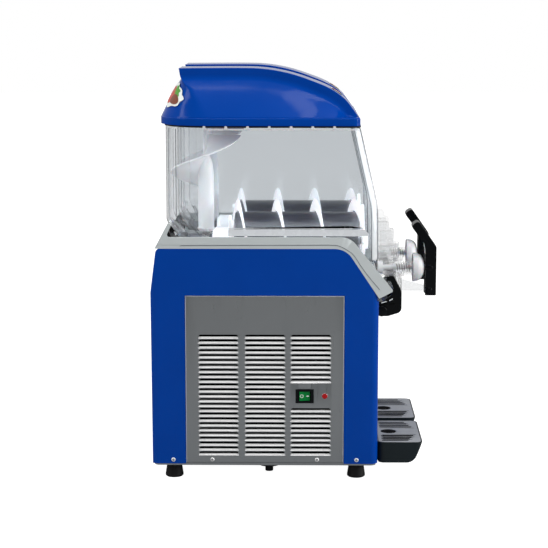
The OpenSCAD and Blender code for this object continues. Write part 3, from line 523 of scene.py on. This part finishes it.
def vent_panel(side):
    """Steel panel whose louvres are flaps pressed inwards: a dark slot over a bright slope. The slopes and the
    rounded edge are white as a painted highlight, and a black sheet behind them is painted shade for the dark
    inside.
    """
    s = SIDES[side]
    low, high = (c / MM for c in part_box(side + "_vent_panel"))
    y_lo, y_hi = low.y - Y0 / MM, high.y - Y0 / MM
    z_lo, z_hi = low.z, high.z
    face = s * (high.x if s > 0 else -low.x)
    cols = [(50.5, 130.1), (-41.8, 38.7), (-132.0, -51.6)]
    rows, pitch, top = 25, 9.85, 290.4
    skipped = range(10, 15) if side == "left" else ()
    slot_h, depth = 8.2, 3.4
    verts, faces, flaps = [], [], set()

    def quad(a, b, c, d):
        k = len(verts)
        verts.extend([a, b, c, d])
        faces.append((k, k + 1, k + 2, k + 3))

    def flat(y0, y1, z0, z1, x=face):
        quad((x, y0, z0), (x, y1, z0), (x, y1, z1), (x, y0, z1))

    def louvre(y0, y1, z):
        lo, hi = z - slot_h / 2 - 1.6, z + slot_h / 2 - 1.6
        back, shoulder, slant = face - s * depth, lo + slot_h * 0.52, 5.0
        ends = ((y0, 1), (y1, -1))
        mouth = [(face, y1, shoulder), (face, y1 - slant * 0.4, hi - 1), (face, y1 - slant, hi),
                 (face, y0 + slant, hi), (face, y0 + slant * 0.4, hi - 1), (face, y0, shoulder)]
        # the sheet around the sloping corners
        for y, d in ends:
            quad((face, y, shoulder), (face, y + d * slant * 0.4, hi - 1), (face, y + d * slant, hi),
                 (face, y, hi))
        # the flap, rising inwards, with a rolled lip
        first = len(faces)
        curve = [(0, 0), (1.1, 0.7), (2.2, 1.6), (3.0, 2.5), (depth, 3.5)]
        for (d0, h0), (d1, h1) in zip(curve, curve[1:]):
            quad((face - s * d0, y0 + d0 * 0.35, lo + h0), (face - s * d0, y1 - d0 * 0.35, lo + h0),
                 (face - s * d1, y1 - d1 * 0.35, lo + h1), (face - s * d1, y0 + d1 * 0.35, lo + h1))
        flaps.update(range(first, len(faces)))
        # short returns behind the mouth
        k = len(verts)
        verts.extend(mouth)
        verts.extend((back, y + (1 if y < (y0 + y1) / 2 else -1) * 0.9, z2) for _, y, z2 in mouth)
        faces.extend((k + i, k + i + 1, k + 7 + i, k + 6 + i) for i in range(5))
        for y, d in ends:
            quad((face, y, lo), (face, y, shoulder), (back, y + d * 0.9, shoulder),
                 (back, y + d * depth * 0.35, lo + 3.5))
        return lo, hi

    round_r = 1.7
    inner_lo, inner_hi = (y_lo + round_r, z_lo + round_r), (y_hi - round_r, z_hi - round_r)
    edges_y = sorted([inner_lo[0], inner_hi[0]] + [y for col in cols for y in col])
    for y0, y1 in zip(edges_y, edges_y[1:]):
        if (y0, y1) not in cols:
            flat(y0, y1, inner_lo[1], inner_hi[1])
    for k, (y0, y1) in enumerate(cols):
        below = inner_lo[1]
        for i in reversed(range(rows)):
            if k == 2 and i in skipped:
                continue
            lo, hi = louvre(y0, y1, top - i * pitch)
            if not below < SWITCH_Z < lo:
                flat(y0, y1, below, lo)
            else:  # round the switch
                hole_y0, hole_y1, hole_z0, hole_z1 = SWITCH_HOLE
                flat(y0, hole_y0, below, lo)
                flat(hole_y1, y1, below, lo)
                flat(hole_y0, hole_y1, below, hole_z0)
                flat(hole_y0, hole_y1, hole_z1, lo)
            below = hi
        flat(y0, y1, below, inner_hi[1])
    # the rounded edge and the hem
    steps = [(round_r * (1 - math.sin(a)), round_r * (1 - math.cos(a)))
             for a in (0, math.pi / 8, math.pi / 4, 3 * math.pi / 8, math.pi / 2)]
    hem = (0, 9.0)
    loops = [[(face - s * d, y_lo + i, z_lo + i), (face - s * d, y_hi - i, z_lo + i),
              (face - s * d, y_hi - i, z_hi - i), (face - s * d, y_lo + i, z_hi - i)]
             for i, d in steps + [hem]]
    for i, (outer, inner) in enumerate(zip(loops, loops[1:])):
        for k in range(4):
            # the top and side faces of the rounded edge take the white painted highlight too
            if i < 3 and k:
                flaps.add(len(faces))
            quad(outer[k], outer[(k + 1) % 4], inner[(k + 1) % 4], inner[k])
    panel = build(side + "_steel_vent_panel", verts, faces)
    thick = panel.modifiers.new("sheet", "SOLIDIFY")
    thick.thickness = 0.8 * MM
    thick.offset = -1
    smooth(panel, 34)
    dress(panel, "steel", "root", "vent_steel", side + "_vent_panel")
    # the flaps and the rounded edge get the white painted highlight
    panel.data.materials.append(M["lip"])
    for poly in panel.data.polygons:
        poly.material_index = int(poly.index in flaps)
    # a black sheet behind the louvres: painted shade for the dark inside seen through the slots
    inside = outline([(y_lo + 3, z_lo + 3, 4), (y_hi - 3, z_lo + 3, 4), (y_hi - 3, z_hi - 3, 4),
                      (y_lo + 3, z_hi - 3, 4)])
    shade_sheet = prism(side + "_vent_shade_sheet", inside, *sorted((face - s * 8.2, face - s * 8.8)))
    soften(shade_sheet, 0.2, 2)
    dress(shade_sheet, "dark", "root", "vent_steel")


def switch_marks():
    """The pale O and I on the rocker, and the ring round the lamp."""
    low, high = (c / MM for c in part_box("rocker"))
    y0, z0 = (low.y + high.y) / 2 - Y0 / MM, (low.z + high.z) / 2
    x = low.x
    ring = [(x + 0.6 - 3 * math.sin(a) * 0.154, y0 + 5.8 + 3 * math.sin(a), z0 + 3 * math.cos(a))
            for a in (2 * math.pi * i / 40 for i in range(41))]
    o_mark = tube("rocker_o", ring, 0.5)
    stroke = outline([(y0 - 8.6, z0 - 0.9, 0.8), (y0 - 3.2, z0 - 0.9, 0.8), (y0 - 3.2, z0 + 0.9, 0.8),
                      (y0 - 8.6, z0 + 0.9, 0.8)])
    bar = prism("rocker_i", stroke, x + 1.45, x + 3.2)
    smooth(bar, 30)
    marks = join("rocker_marks", [o_mark, bar])
    soften(marks, 0.15, 2)
    dress(marks, "mark", "rocker", "green_switch")
    low, high = (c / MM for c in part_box("pilot_lamp"))
    centre = ((low.x + 2.2), (low.y + high.y) / 2 - Y0 / MM, (low.z + high.z) / 2)
    ring = lathe("lamp_ring", [(4.6, -0.5), (5.2, -0.9), (6.1, -0.7), (6.5, -0.1), (6.5, 0.3), (4.6, 0.3)],
                 centre, "x", 48, True)
    smooth(ring, 50)
    dress(ring, "pin", "root", "vent_steel")


# ---------------------------------------------------------------- lids
LID_HALF, LID_BASE, RIM_TOP = 95.8, 702.0, 718.0
ARC_Y, ARC_DEPTH, LID_FRONT = 107.0, 98.9, -186.3
# the lid's upper edge from the back to the front: y, z and its distance from the lid's middle
CREASE = [(167, 810.8, 47.5), (47.5, 811.4, 47.5), (0, 809.6, 48), (-38, 803.5, 49.5), (-69, 795.2, 52),
          (-96.4, 785.5, 56), (-118, 777, 59.5), (-137, 767, 62), (-157, 752, 65), (-171, 735, 68),
          (-182.5, 718.8, 70)]


def bend(controls, radii, n=5):
    """Points through controls with each inner corner eased over its radius."""
    pts = [Vector(controls[0])]
    for before, here, after, r in zip(controls, controls[1:], controls[2:], radii):
        a, p, b = Vector(before), Vector(here), Vector(after)
        la, lb = (a - p).length, (b - p).length
        s = p + (a - p) * min(r, la * 0.48) / max(la, 1e-9)
        e = p + (b - p) * min(r, lb * 0.48) / max(lb, 1e-9)
        for i in range(n + 1):
            t = i / n
            pts.append(s * (1 - t) ** 2 + p * 2 * t * (1 - t) + e * t * t)
    return pts + [Vector(controls[-1])]


def spline(points, t):
    """A Catmull-Rom curve through points, t in 0..1."""
    k = len(points) - 1
    i = min(int(t * k), k - 1)
    f = t * k - i
    p = [Vector(points[max(0, min(k, i + d))]) for d in (-1, 0, 1, 2)]
    return 0.5 * (2 * p[1] + (p[2] - p[0]) * f + (2 * p[0] - 5 * p[1] + 4 * p[2] - p[3]) * f * f
                  + (3 * p[1] - p[0] - 3 * p[2] + p[3]) * f ** 3)


def lid_shell(side):
    """The lid as one skin: columns from the rim up to the crease all round, and the top between."""
    cx = BOWL_X[side]
    band, flare, corner = 19.5, 2.6, 14
    stations, across = 56, 20
    verts, columns = [], []

    def column(base, out, knee, crease, tuck):
        """One column of points up the lid's wall, out being the way it faces."""
        b = Vector(base)
        o = Vector(out)

        def at(inset, z):
            p = b - o * inset
            return Vector((p.x, p.y, z))

        foot = at(1.6, RIM_TOP)
        knee = Vector(knee)
        bulge = min(1.6, (knee - foot).length * 0.03)
        mid = (foot + knee) / 2 + Vector((o.x, o.y, 0.8)) * bulge
        controls = [at(0, LID_BASE), at(0, 704.5), at(0, 715.5), at(1.6, 716.6), foot, mid, knee, crease, tuck]
        pts = bend(controls, [1, 0.9, 0.6, 1.2, 40, 7.5, 1.3])
        columns.append(list(range(len(verts), len(verts) + len(pts))))
        verts.extend((cx + p.x, p.y, p.z) for p in pts)

    line = [spline(CREASE, i / stations) for i in range(stations + 1)]

    def flank(i, s):
        c = line[i]
        before, after = line[max(i - 1, 0)], line[min(i + 1, stations)]
        t = Vector((after.x - before.x, after.y - before.y)).normalized()
        n = Vector((-t.y, t.x))
        if n.y > 0:
            n = -n
        f = i / stations
        ky, kz = c.x + n.x * band - (3 if i == 0 else 0), max(c.y + n.y * band, RIM_TOP + 0.4)
        y_base = ARC_Y + (LID_FRONT + corner - ARC_Y) * f
        kz = min(kz, c.y - 0.2)
        lean = min(1, (c.y - kz) / band)
        column((s * LID_HALF, y_base), (s, 0), (s * (c.z - flare * lean), ky, kz), (s * c.z, c.x, c.y),
               (s * (c.z - 3.5), c.x, c.y + 0.1))

    # round the rim: one side, a corner, the front, a corner, the other side, the back
    for i in range(stations + 1):
        flank(i, 1)
    end = line[-1]
    for j in range(1, 7):
        a = math.pi / 2 * j / 7
        out = (math.cos(a), -math.sin(a))
        base = (LID_HALF - corner + corner * out[0], LID_FRONT + corner + corner * out[1])
        column(base, out, (end.z, end.x, RIM_TOP + 0.6), (end.z, end.x, end.y),
               (end.z - 3.5, end.x + 0.8, end.y + 1.2))
    for j in range(across + 1):
        f = 1 - 2 * j / across
        x = f * end.z
        column((f * (LID_HALF - corner), LID_FRONT), (0, -1), (x, end.x - 0.2, RIM_TOP + 0.6), (x, end.x, end.y),
               (f * (end.z - 3.5), end.x + 0.8, end.y + 1.2))
    for j in range(1, 7):
        a = math.pi / 2 * (1 - j / 7)
        out = (-math.cos(a), -math.sin(a))
        base = (-LID_HALF + corner + corner * out[0], LID_FRONT + corner + corner * out[1])
        column(base, out, (-end.z, end.x, RIM_TOP + 0.6), (-end.z, end.x, end.y),
               (3.5 - end.z, end.x + 0.8, end.y + 1.2))
    for i in range(stations, -1, -1):
        flank(i, -1)
    start = line[0]
    for j in range(1, across):
        f = -1 + 2 * j / across
        a = math.pi / 2 * f
        out = Vector((math.sin(a), math.cos(a)))
        base = (LID_HALF * out.x, ARC_Y + ARC_DEPTH * out.y)
        column(base, out, (f * (start.z - flare), start.x - 3.4, start.y - band), (f * start.z, start.x, start.y),
               (f * (start.z - 3.5), start.x - 3.5, start.y + 0.05))
    faces = []
    for a, b in zip(columns, columns[1:] + columns[:1]):
        faces += [(a[k], b[k], b[k + 1], a[k + 1]) for k in range(len(a) - 1)]
    # the top, between the two creases
    right0, front0 = 0, stations + 1 + 6
    left0 = front0 + across + 1 + 6
    rear0 = left0 + stations + 1
    grid = []
    for i in range(stations + 1):
        left, right = columns[left0 + stations - i][-1], columns[right0 + i][-1]
        if i == 0:
            row = [left] + [columns[rear0 + j][-1] for j in range(across - 1)] + [right]
        elif i == stations:
            row = [left] + [columns[front0 + across - j][-1] for j in range(1, across)] + [right]
        else:
            row = [left]
            a, b = Vector(verts[left]), Vector(verts[right])
            for j in range(1, across):
                f = j / across
                p = a.lerp(b, f)
                p.z += 0.5 * math.sin(math.pi * f)
                row.append(len(verts))
                verts.append(tuple(p))
            row.append(right)
        grid.append(row)
    for a, b in zip(grid, grid[1:]):
        faces += [(a[k], a[k + 1], b[k + 1], b[k]) for k in range(across)]
    obj = build(side + "_lid_shell", verts, faces)
    thick = obj.modifiers.new("wall", "SOLIDIFY")
    thick.thickness = 2.4 * MM
    thick.offset = -1
    smooth(obj, 50)
    dress(obj, "blue", side + "_lid", "blue_shell", side + "_lid")


# ---------------------------------------------------------------- augers
DRUM_Z = 466.0
AUGER_PITCH, AUGER_CREST = 77.3, -179.3
RIBBON = (-197.0, 68.0)
LIFT_Y, LIFT_PITCH, LIFT_TOP = 117.4, 158.0, 681.0
TEETH, LIFT_TEETH, GEAR_R, FACE_SCALE = 24, 16, 26.0, 0.745


def gear(name, teeth, radius, shift, place, lo, hi, scale_lo, scale_hi):
    """A bevel gear between two stations of its axis; place turns (u, v, along) into x, y, z."""
    half_tooth = ((0.14, 1.5), (0.2, 1.2), (0.3, -1.9), (0.36, -2.2))  # part of a pitch, and height
    tooth = [(-f, dr) for f, dr in reversed(half_tooth)] + list(half_tooth)

    def ring(scale, t):
        pts = []
        for i in range(teeth):
            for f, dr in tooth:
                a = 2 * math.pi * (i + shift + f * 0.8) / teeth - math.pi / 2
                pts.append(place((radius + dr) * scale * math.cos(a), (radius + dr) * scale * math.sin(a), t))
        return pts

    return loft(name, [ring(scale_lo, lo), ring(scale_hi, hi)])


def ribbon(name, centre, section, start, stop, angle, place, steps):
    """A screw blade: section (radius, along) points carried from start to stop."""
    rings = []
    for i in range(steps + 1):
        t = start + (stop - start) * i / steps
        a = angle(t)
        fade = min(1.0, 0.25 + 6 * min(i, steps - i) / steps)
        rings.append([place(centre, r, along * fade + t, a) for r, along in section])
    return loft(name, rings)


def auger(side):
    """The lying screw round the drum: blade, two hubs with spokes, and the bevel gear behind."""
    cx = BOWL_X[side]
    centre = (cx, 0, DRUM_Z)

    def along_y(c, r, t, a):
        return (c[0] + r * math.cos(a), t, c[2] + r * math.sin(a))

    section = [(61.2, -2.8), (66, -2.4), (74, -1.7), (81, -1.15), (83.4, -0.9), (84, 0), (83.4, 0.9), (81, 1.15),
               (74, 1.7), (66, 2.4), (61.2, 2.8), (60.9, 0)]
    blade = ribbon("blade", centre, section, RIBBON[0] + 0.5, RIBBON[1] - 0.5,
                   lambda t: math.radians(90 - 360 * (t - AUGER_CREST) / AUGER_PITCH), along_y, 300)
    front_hub = lathe("front_hub", [(7.1, -205.9), (15, -205.9), (16, -205), (16, -200.5), (24.5, -200),
                                    (26, -199), (26, -194), (25, -193.1), (7.1, -193.1)], centre, "y", 48, True)
    rear_hub = lathe("rear_hub", [(14.5, 62), (25, 62), (27.6, 63), (28, 64), (28, 72), (26.8, 73),
                                  (26.8, 96), (28, 97.4), (14.5, 97.4)], centre, "y", 56, True)
    crown = gear("crown", TEETH, GEAR_R, 0, lambda u, v, t: (cx + u, t, DRUM_Z - v), 97.4, 104.6, 1, FACE_SCALE)
    parts = [blade, front_hub, rear_hub, crown]
    start, stop = RIBBON
    for y0, y1, at in ((start - 2.7, start + 3.8, start), (stop - 3.8, stop + 1.8, stop)):
        turn = math.radians(360 * (at - AUGER_CREST) / AUGER_PITCH)
        for k in range(3):
            spoke = []
            for r, w in ((22, 8), (32, 7), (48, 6.2), (64, 6), (78, 6), (81.6, 4.5)):
                spoke.append([(-w, y0 + 1, r), (-w + 1, y0, r), (w - 1, y0, r), (w, y0 + 1, r),
                              (w, y1 - 1, r), (w - 1, y1, r), (1 - w, y1, r), (-w, y1 - 1, r)])
            a = turn + 2 * math.pi * k / 3
            rings = [[(cx + x * math.cos(a) + z * math.sin(a), y, DRUM_Z - x * math.sin(a) + z * math.cos(a))
                      for x, y, z in ring] for ring in spoke]
            parts.append(loft("spoke", rings))
    obj = join(side + "_auger_screw", parts)
    smooth(obj, 40)
    dress(obj, "auger", side + "_auger", "auger_white", side + "_auger")


def lift_auger(side):
    """The standing screw on its post, with the small bevel gear at the foot."""
    cx = BOWL_X[side]

    def about_z(c, r, t, a):
        return (c[0] + r * math.cos(a), c[1] + r * math.sin(a), t)

    section = [(3, -3.4), (20, -3.4), (40, -3.1), (60, -2.7), (68.5, -2.3), (70.6, -1.3), (71, 0), (70.6, 1.3),
               (68.5, 2.3), (60, 2.7), (40, 3.1), (20, 3.4), (3, 3.4)]
    blade = ribbon("blade", (cx, LIFT_Y, 0), section, 558.5, 677.6,
                   lambda t: math.radians(-90 - 360 * (LIFT_TOP - t) / LIFT_PITCH), about_z, 110)
    post = lathe("post", [(6.5, 491.1), (15, 491.1), (16, 492), (16, 598), (15.4, 603), (13.2, 622), (10, 631),
                          (6.6, 638), (5.4, 646), (5, 689), (4.4, 691.6), (3, 692.7), (0.1, 692.8)],
                 (cx, LIFT_Y, 0), "z", 48)
    pinion = gear("pinion", LIFT_TEETH, GEAR_R * LIFT_TEETH / TEETH, 0.5,
                  lambda u, v, t: (cx + u, LIFT_Y + v, t), 485.6, 491.8, FACE_SCALE, 1)
    obj = join(side + "_lift_screw", [blade, post, pinion])
    smooth(obj, 40)
    dress(obj, "lift", side + "_lift_auger", "auger_white", side + "_lift_auger")


# ---------------------------------------------------------------- bowls and drives
def bowls():
    for side in SIDES:
        bowl = NODES[side + "_bowl"]
        bowl.data.materials.clear()
        bowl.data.materials.append(M["bowl"])
        smooth(bowl, 30)
        crisp(bowl)
        keep(side + "_rim_seal", "rubber", 0.4)
        keep(side + "_evaporator", "drum", 0.5)
        keep(side + "_auger_post", "pin", 0.4)
        keep(side + "_drive_shaft", "pin", 0.4)
        keep(side + "_gearmotor", "dark_paint", 1.0)
        keep(side + "_bowl_seal", "seal", 0.4)
        keep(side + "_rear_clips", "rubber", 1.0)


def taps():
    for side in SIDES:
        keep(side + "_tap_body", "tap", 0.8)
        keep(side + "_tap_piston", "white", 0.4)
        keep(side + "_tap_cap", "white", 0.6)
        keep(side + "_tap_handle", "black", 2.6, 4)
        keep(side + "_handle_pin", "black", 0.3)
        keep(side + "_bowl_latch", "black", 1.2)
        keep(side + "_drip_tray", "tray", 1.4)
        keep(side + "_tray_grille", "grille", 0.5)


# ---------------------------------------------------------------- small pieces
TAP_Z = 412.7
HANDLE_Y, HANDLE_PIN_Z = -329, 368.0
LATCH_PIN = (-234, 327)


def tap_spring(side):
    """The coil between tap body and cap, which stretches between the two."""
    cx, z, r, turns = BOWL_X[side], TAP_Z, 6.65, 6
    near, far, flat_end = -262.9, -291.4, 0.06
    pts = []
    for i in range(turns * 20 + 1):
        f = i / (turns * 20)
        a = 2 * math.pi * turns * f
        if f <= flat_end:
            squeeze = flat_end * (f / flat_end) ** 1.6
        elif f >= 1 - flat_end:
            squeeze = 1 - flat_end * ((1 - f) / flat_end) ** 1.6
        else:
            squeeze = f
        pts.append((cx + r * math.cos(a), near + (far - near) * squeeze, z + r * math.sin(a)))
    obj = tube(side + "_coil_spring", pts, 0.62)
    smooth(obj, 60)
    obj.data.materials.append(M["spring"])
    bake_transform(obj)
    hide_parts(side + "_tap_spring")


def handle_bosses(side):
    """Round covers over the ends of the handle's pins."""
    cx = BOWL_X[side]
    parts = []
    for s in (-1, 1):
        for z, r in ((HANDLE_PIN_Z, 6.2), (TAP_Z, 7.4)):
            profile = [(0.1, 2.3), (r - 2.2, 2.3), (r - 1, 2.0), (r - 0.3, 1.3), (r, 0.5), (r, -0.6), (0.1, -0.6)]
            parts.append(lathe("boss", [(q, s * t) for q, t in profile], (cx + s * 17, HANDLE_Y, z), "x", 40))
    obj = join(side + "_handle_bosses", parts)
    smooth(obj, 60)
    dress(obj, "black", side + "_tap_handle", "black_plastic")


def latch_slots(side):
    """White pieces in the two slots in each cheek of the latch: painted light, standing in for the brightness
    seen through them.
    """
    cx = BOWL_X[side]
    parts = []
    for s in (-1, 1):
        for a, b in (((-233, 342.6), (-244, 345.6)), ((-249, 346.9), (-256, 351.2))):
            d = Vector((b[0] - a[0], b[1] - a[1])).normalized() * 0.95
            pts = outline([(a[0] - d.y, a[1] + d.x, 0.8), (b[0] - d.y, b[1] + d.x, 0.8),
                           (b[0] + d.y, b[1] - d.x, 0.8), (a[0] + d.y, a[1] - d.x, 0.8)], 4)
            x = cx + s * 19.5
            parts.append(prism("slot", pts, x - 0.5, x + 0.5))
    obj = join(side + "_latch_slot_painted_light", parts)
    soften(obj, 0.2, 2)
    dress(obj, "mark", side + "_bowl_latch", "black_plastic")


def bowl_front(z):
    """The y of the bowl's sloping front at height z."""
    line = [(698, -186.0), (560, -217.6), (546, -220.3), (530, -221.6), (430, -223.0)]
    for (z1, y1), (z0, y0) in zip(line, line[1:]):
        if z >= z0:
            return y0 + (y1 - y0) * (z - z0) / (z1 - z0)
    return line[-1][1]


def bowl_painted_light_and_flange(side):
    """Painted light on the bowl's thick corners: bright strips as a painted highlight at the front, faint strips
    as a painted reflection at the back and dark lines as painted shade; and the light flange above the deck.
    """
    cx = BOWL_X[side]
    half, corner = 90.0, 18.0
    heights = [440 + 256 * i / 48 for i in range(49)]

    def front_point(s, angle, z, out=0.3):
        a = math.radians(angle)
        return (cx + s * (half - corner + (corner + out) * math.cos(a)),
                bowl_front(z) + corner - (corner + out) * math.sin(a), z)

    def rear_point(s, angle, z, out=0.3):
        a = math.radians(angle)
        return (cx + s * (half + out) * math.sin(a), ARC_Y + (half + out) * math.cos(a), z)

    glints, shades, painted_reflections = [], [], []
    for s in (-1, 1):
        rows = [[front_point(s, 20 + 5 * k, z) for k in range(10)] for z in heights]
        glints.append(build("band", [v for row in rows for v in row], grid_faces(len(rows), 10)))
        for lo, hi in ((9, 23), (46, 66)):
            rows = [[rear_point(s, lo + (hi - lo) * k / 6, z) for k in range(7)] for z in (526, 580, 640, 694)]
            painted_reflections.append(build("streak", [v for row in rows for v in row], grid_faces(4, 7)))
        for angle, r in ((17, 0.7), (67, 0.5), (88, 0.5)):
            shades.append(tube("line", [front_point(s, angle, z, 0.5) for z in heights], r))
        for angle, r in ((25, 0.6), (43, 0.9)):
            shades.append(tube("line", [rear_point(s, angle, z, 0.2) for z in (524, 560, 600, 650, 694)], r))
        for angle, r in ((25, 0.5), (43, 0.7), (62, 0.6)):
            top = Vector(rear_point(s, angle, 523, 0.2))
            low = Vector((cx + s * (half - 8) * math.sin(math.radians(angle)), top.y - 34, 471))
            between = [top.lerp(low, f) + Vector((0, bow, 0)) for f, bow in ((0.35, 1.6), (0.7, 1))]
            shades.append(tube("line", [top, *between, low], r))
    # part-clear strips laid on the bowl: painted highlight, painted reflection and painted shade lines
    bright = join(side + "_bowl_glints", glints)
    sheet = bright.modifiers.new("sheet", "SOLIDIFY")
    sheet.thickness = 0.3 * MM
    smooth(bright, 40)
    dress(bright, "glint", "root", "clear_bowl")
    reflection_strips = join(side + "_bowl_reflection_strips", painted_reflections)
    smooth(reflection_strips, 40)
    dress(reflection_strips, "painted_reflection", "root", "clear_bowl")
    lines = join(side + "_bowl_painted_shade_lines", shades)
    smooth(lines, 60)
    dress(lines, "shade", "root", "clear_bowl")
    flanges = []
    for s in (-1, 1):
        for lo, hi, reach in ((487.5, 500.5, 3.0), (501.3, 503.2, 2.2)):
            pts = outline([(70, lo, 0.8), (70, hi, 0.8), (-196, hi, 6), (-208, lo, 3)], 5)
            flanges.append(prism("flange", pts, *sorted((cx + s * (half + 0.3), cx + s * (half + reach)))))
    skirt = join(side + "_bowl_flange", flanges)
    soften(skirt, 0.6, 3)
    dress(skirt, "skirt", "root", "clear_bowl")


DECK_SEAM = [(163.9, 469.0), (134.6, 469.8), (-69.8, 470.8), (-132.0, 470.9), (-147.6, 468.4), (-157.3, 463.7),
             (-173.2, 452.7), (-188.9, 429.6), (-204.9, 408.0), (-225.8, 383.3)]


def deck_seams():
    """The dark seam along each side of the deck."""
    lines = []
    for s in (-1, 1):
        pts = [spline(DECK_SEAM, i / 90) for i in range(91)]
        lines.append(tube("seam", [(s * 200.1, p.x, p.y) for p in pts], 0.6))
    obj = join("deck_seams", lines)
    smooth(obj, 60)
    dress(obj, "shade", "root", "deck_grey")


def latch_covers(side):
    """Black covers over the ears that carry the latch."""
    cx = BOWL_X[side]
    parts = []
    for s in (-1, 1):
        profile = [(0.1, 3.0), (8.2, 3.0), (9.8, 2.6), (10.7, 1.6), (11.0, 0.4), (11.0, -0.6), (0.1, -0.6)]
        parts.append(lathe("cover", [(q, s * t) for q, t in profile], (cx + s * 24.6, *LATCH_PIN), "x", 40))
    obj = join(side + "_latch_covers", parts)
    smooth(obj, 60)
    dress(obj, "black", "root", "black_plastic")


def screw_heads():
    """Rims and recesses of the screws along the bottom of the sides: the rims white as a painted highlight, the
    recesses black as painted shade.
    """
    rims, holes = [], []
    for s in (-1, 1):
        for y, x in ((180.6, 200), (103.1, 198), (-104.6, 198), (-183, 200)):
            profile = [(2.2, 0.9), (2.5, 1.4), (3.1, 1.35), (3.8, 0.8), (4.0, 0.05), (2.2, 0.05)]
            rims.append(lathe("rim", [(q, s * t) for q, t in profile], (s * x, y, 40), "x", 40, True))
            recess = [(0.1, s * 0.2), (0.1, s * 1.35), (2.25, s * 1.35), (2.25, s * 0.2)]
            holes.append(lathe("hole", recess, (s * x, y, 40), "x", 24))
    obj = join("screw_painted_highlight_rims", rims)
    smooth(obj, 50)
    dress(obj, "lip", "root", "pin_steel")
    obj = join("screw_painted_shade_recesses", holes)
    smooth(obj, 50)
    dress(obj, "dark", "root", "pin_steel")


def grille_slots(side):
    """Painted shade: dark pieces laid on the grille's top where its openings show dark, four slots at each side
    and the drain dish.
    """
    cx = BOWL_X[side]
    top = (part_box(side + "_tray_grille")[1].z / MM) + 0.08
    parts = []
    for s in (-1, 1):
        for i in range(4):
            x = cx + s * (34 + i * 13)
            front = -300 + i * 4
            pts = outline([(x - 3.4, front, 3), (x + 3.4, front, 3), (x + 3.4, -234, 3), (x - 3.4, -234, 3)], 5)
            parts.append(prism("slot", pts, top - 0.5, top, "z"))
    dish = lathe("dish", [(0.1, -0.5), (0.1, 0), (14.5, 0), (15.6, -0.1), (15.6, -0.5)], (cx, -251, top), "z", 40)
    # dark pieces over the grille: painted shade
    obj = join(side + "_grille_painted_shade", parts + [dish])
    smooth(obj, 40)
    dress(obj, "dark", side + "_tray_grille", "tray_dark")


def rim_lugs(side):
    """A row of small pale lugs on a strip beside the bowl's rim, under the lid."""
    cx = BOWL_X[side]
    parts = []
    for s in (-1, 1):
        for k in range(7):
            y = 116 - k * 42
            pts = outline([(y - 3.4, 695.2, 0.8), (y + 3.4, 695.2, 0.8), (y + 2.2, 701.6, 1),
                           (y - 2.2, 701.6, 1)], 4)
            parts.append(prism("lug", pts, *sorted((cx + s * 92.4, cx + s * 95.6))))
        pts = outline([(-182, 693.4, 0.7), (112, 693.4, 0.7), (112, 695.8, 0.7), (-182, 695.8, 0.7)], 4)
        parts.append(prism("strip", pts, *sorted((cx + s * 93, cx + s * 94.8))))
    obj = join(side + "_rim_lugs", parts)
    soften(obj, 0.3, 2)
    dress(obj, "white", "root", "clear_bowl")


def top_height(y):
    """The height of the lid's upper edge at y."""
    line = [spline(CREASE, i / 200) for i in range(201)]
    for a, b in zip(line, line[1:]):
        if b.x <= y <= a.x:
            return a.y + (b.y - a.y) * (a.x - y) / max(a.x - b.x, 1e-6)
    return line[-1].y


def badge(side):
    """Plain fruit-shaped stickers on the lid's back and brow, with no words."""
    cx = BOWL_X[side]

    def on_back(u, v, lift):
        f, t = -0.3 + u / 68, 0.5 + v / 62
        a = math.pi / 2 * f
        foot = Vector(((LID_HALF - 1.6) * math.sin(a), ARC_Y + (ARC_DEPTH - 1.6) * math.cos(a), RIM_TOP))
        knee = Vector((44.9 * f, 163.6, 791.3))
        out = Vector((math.sin(a), math.cos(a), 0.6)).normalized()
        p = foot.lerp(knee, t) + out * (lift + 0.5 + 2.1 * math.sin(math.pi * max(0, min(1, t))))
        return (cx + p.x, p.y, p.z)

    def on_brow(u, v, lift):
        y = -140 - 0.62 * v
        return (cx + u, y - lift * 0.7, top_height(y) + 0.45 + lift)

    def blob(name, place, centre, size, lobes, lift):
        """A flat lobed shape laid on the lid; lobes is how many, how deep and at what turn."""
        rows, cols = 5, 40
        verts, faces = [place(*centre, lift)], []
        for i in range(1, rows + 1):
            for j in range(cols):
                a = 2 * math.pi * j / cols
                r = (1 + lobes[1] * math.cos(lobes[0] * a + lobes[2])) * i / rows
                u, v = size[0] * r * math.cos(a), size[1] * r * math.sin(a)
                verts.append(place(centre[0] + u, centre[1] + v, lift))
        for j in range(cols):
            faces.append((0, 1 + j, 1 + (j + 1) % cols))
            for i in range(rows - 1):
                a, b = 1 + i * cols + j, 1 + i * cols + (j + 1) % cols
                faces.append((a, b, b + cols, a + cols))
        return build(name, verts, faces)

    for where, place in (("back", on_back), ("brow", on_brow)):
        for name, look, centre, size, lobes, lift in (
                ("edge", "mark", (-1, 3), (27, 20), (9, 0.07, 0.4), 0.5),
                ("fruit", "fruit", (5, 3), (14, 14), (5, 0.05, 1.0), 0.75),
                ("leaf", "leaf", (-12, 9), (9, 9), (6, 0.22, 0.2), 0.75),
                ("seed", "seed", (-9, -5), (10, 8), (3, 0.06, 0.7), 0.9)):
            obj = blob(side + "_" + where + "_sticker_" + name, place, centre, size, lobes, lift)
            smooth(obj, 60)
            dress(obj, look, side + "_lid", "blue_shell")


stage()
cabinet()
for side in SIDES:
    vent_panel(side)
    lid_shell(side)
    auger(side)
    lift_auger(side)
    tap_spring(side)
    rim_lugs(side)
    badge(side)
    handle_bosses(side)
    latch_slots(side)
    bowl_painted_light_and_flange(side)
    latch_covers(side)
    grille_slots(side)
switch_marks()
screw_heads()
deck_seams()
bowls()
taps()
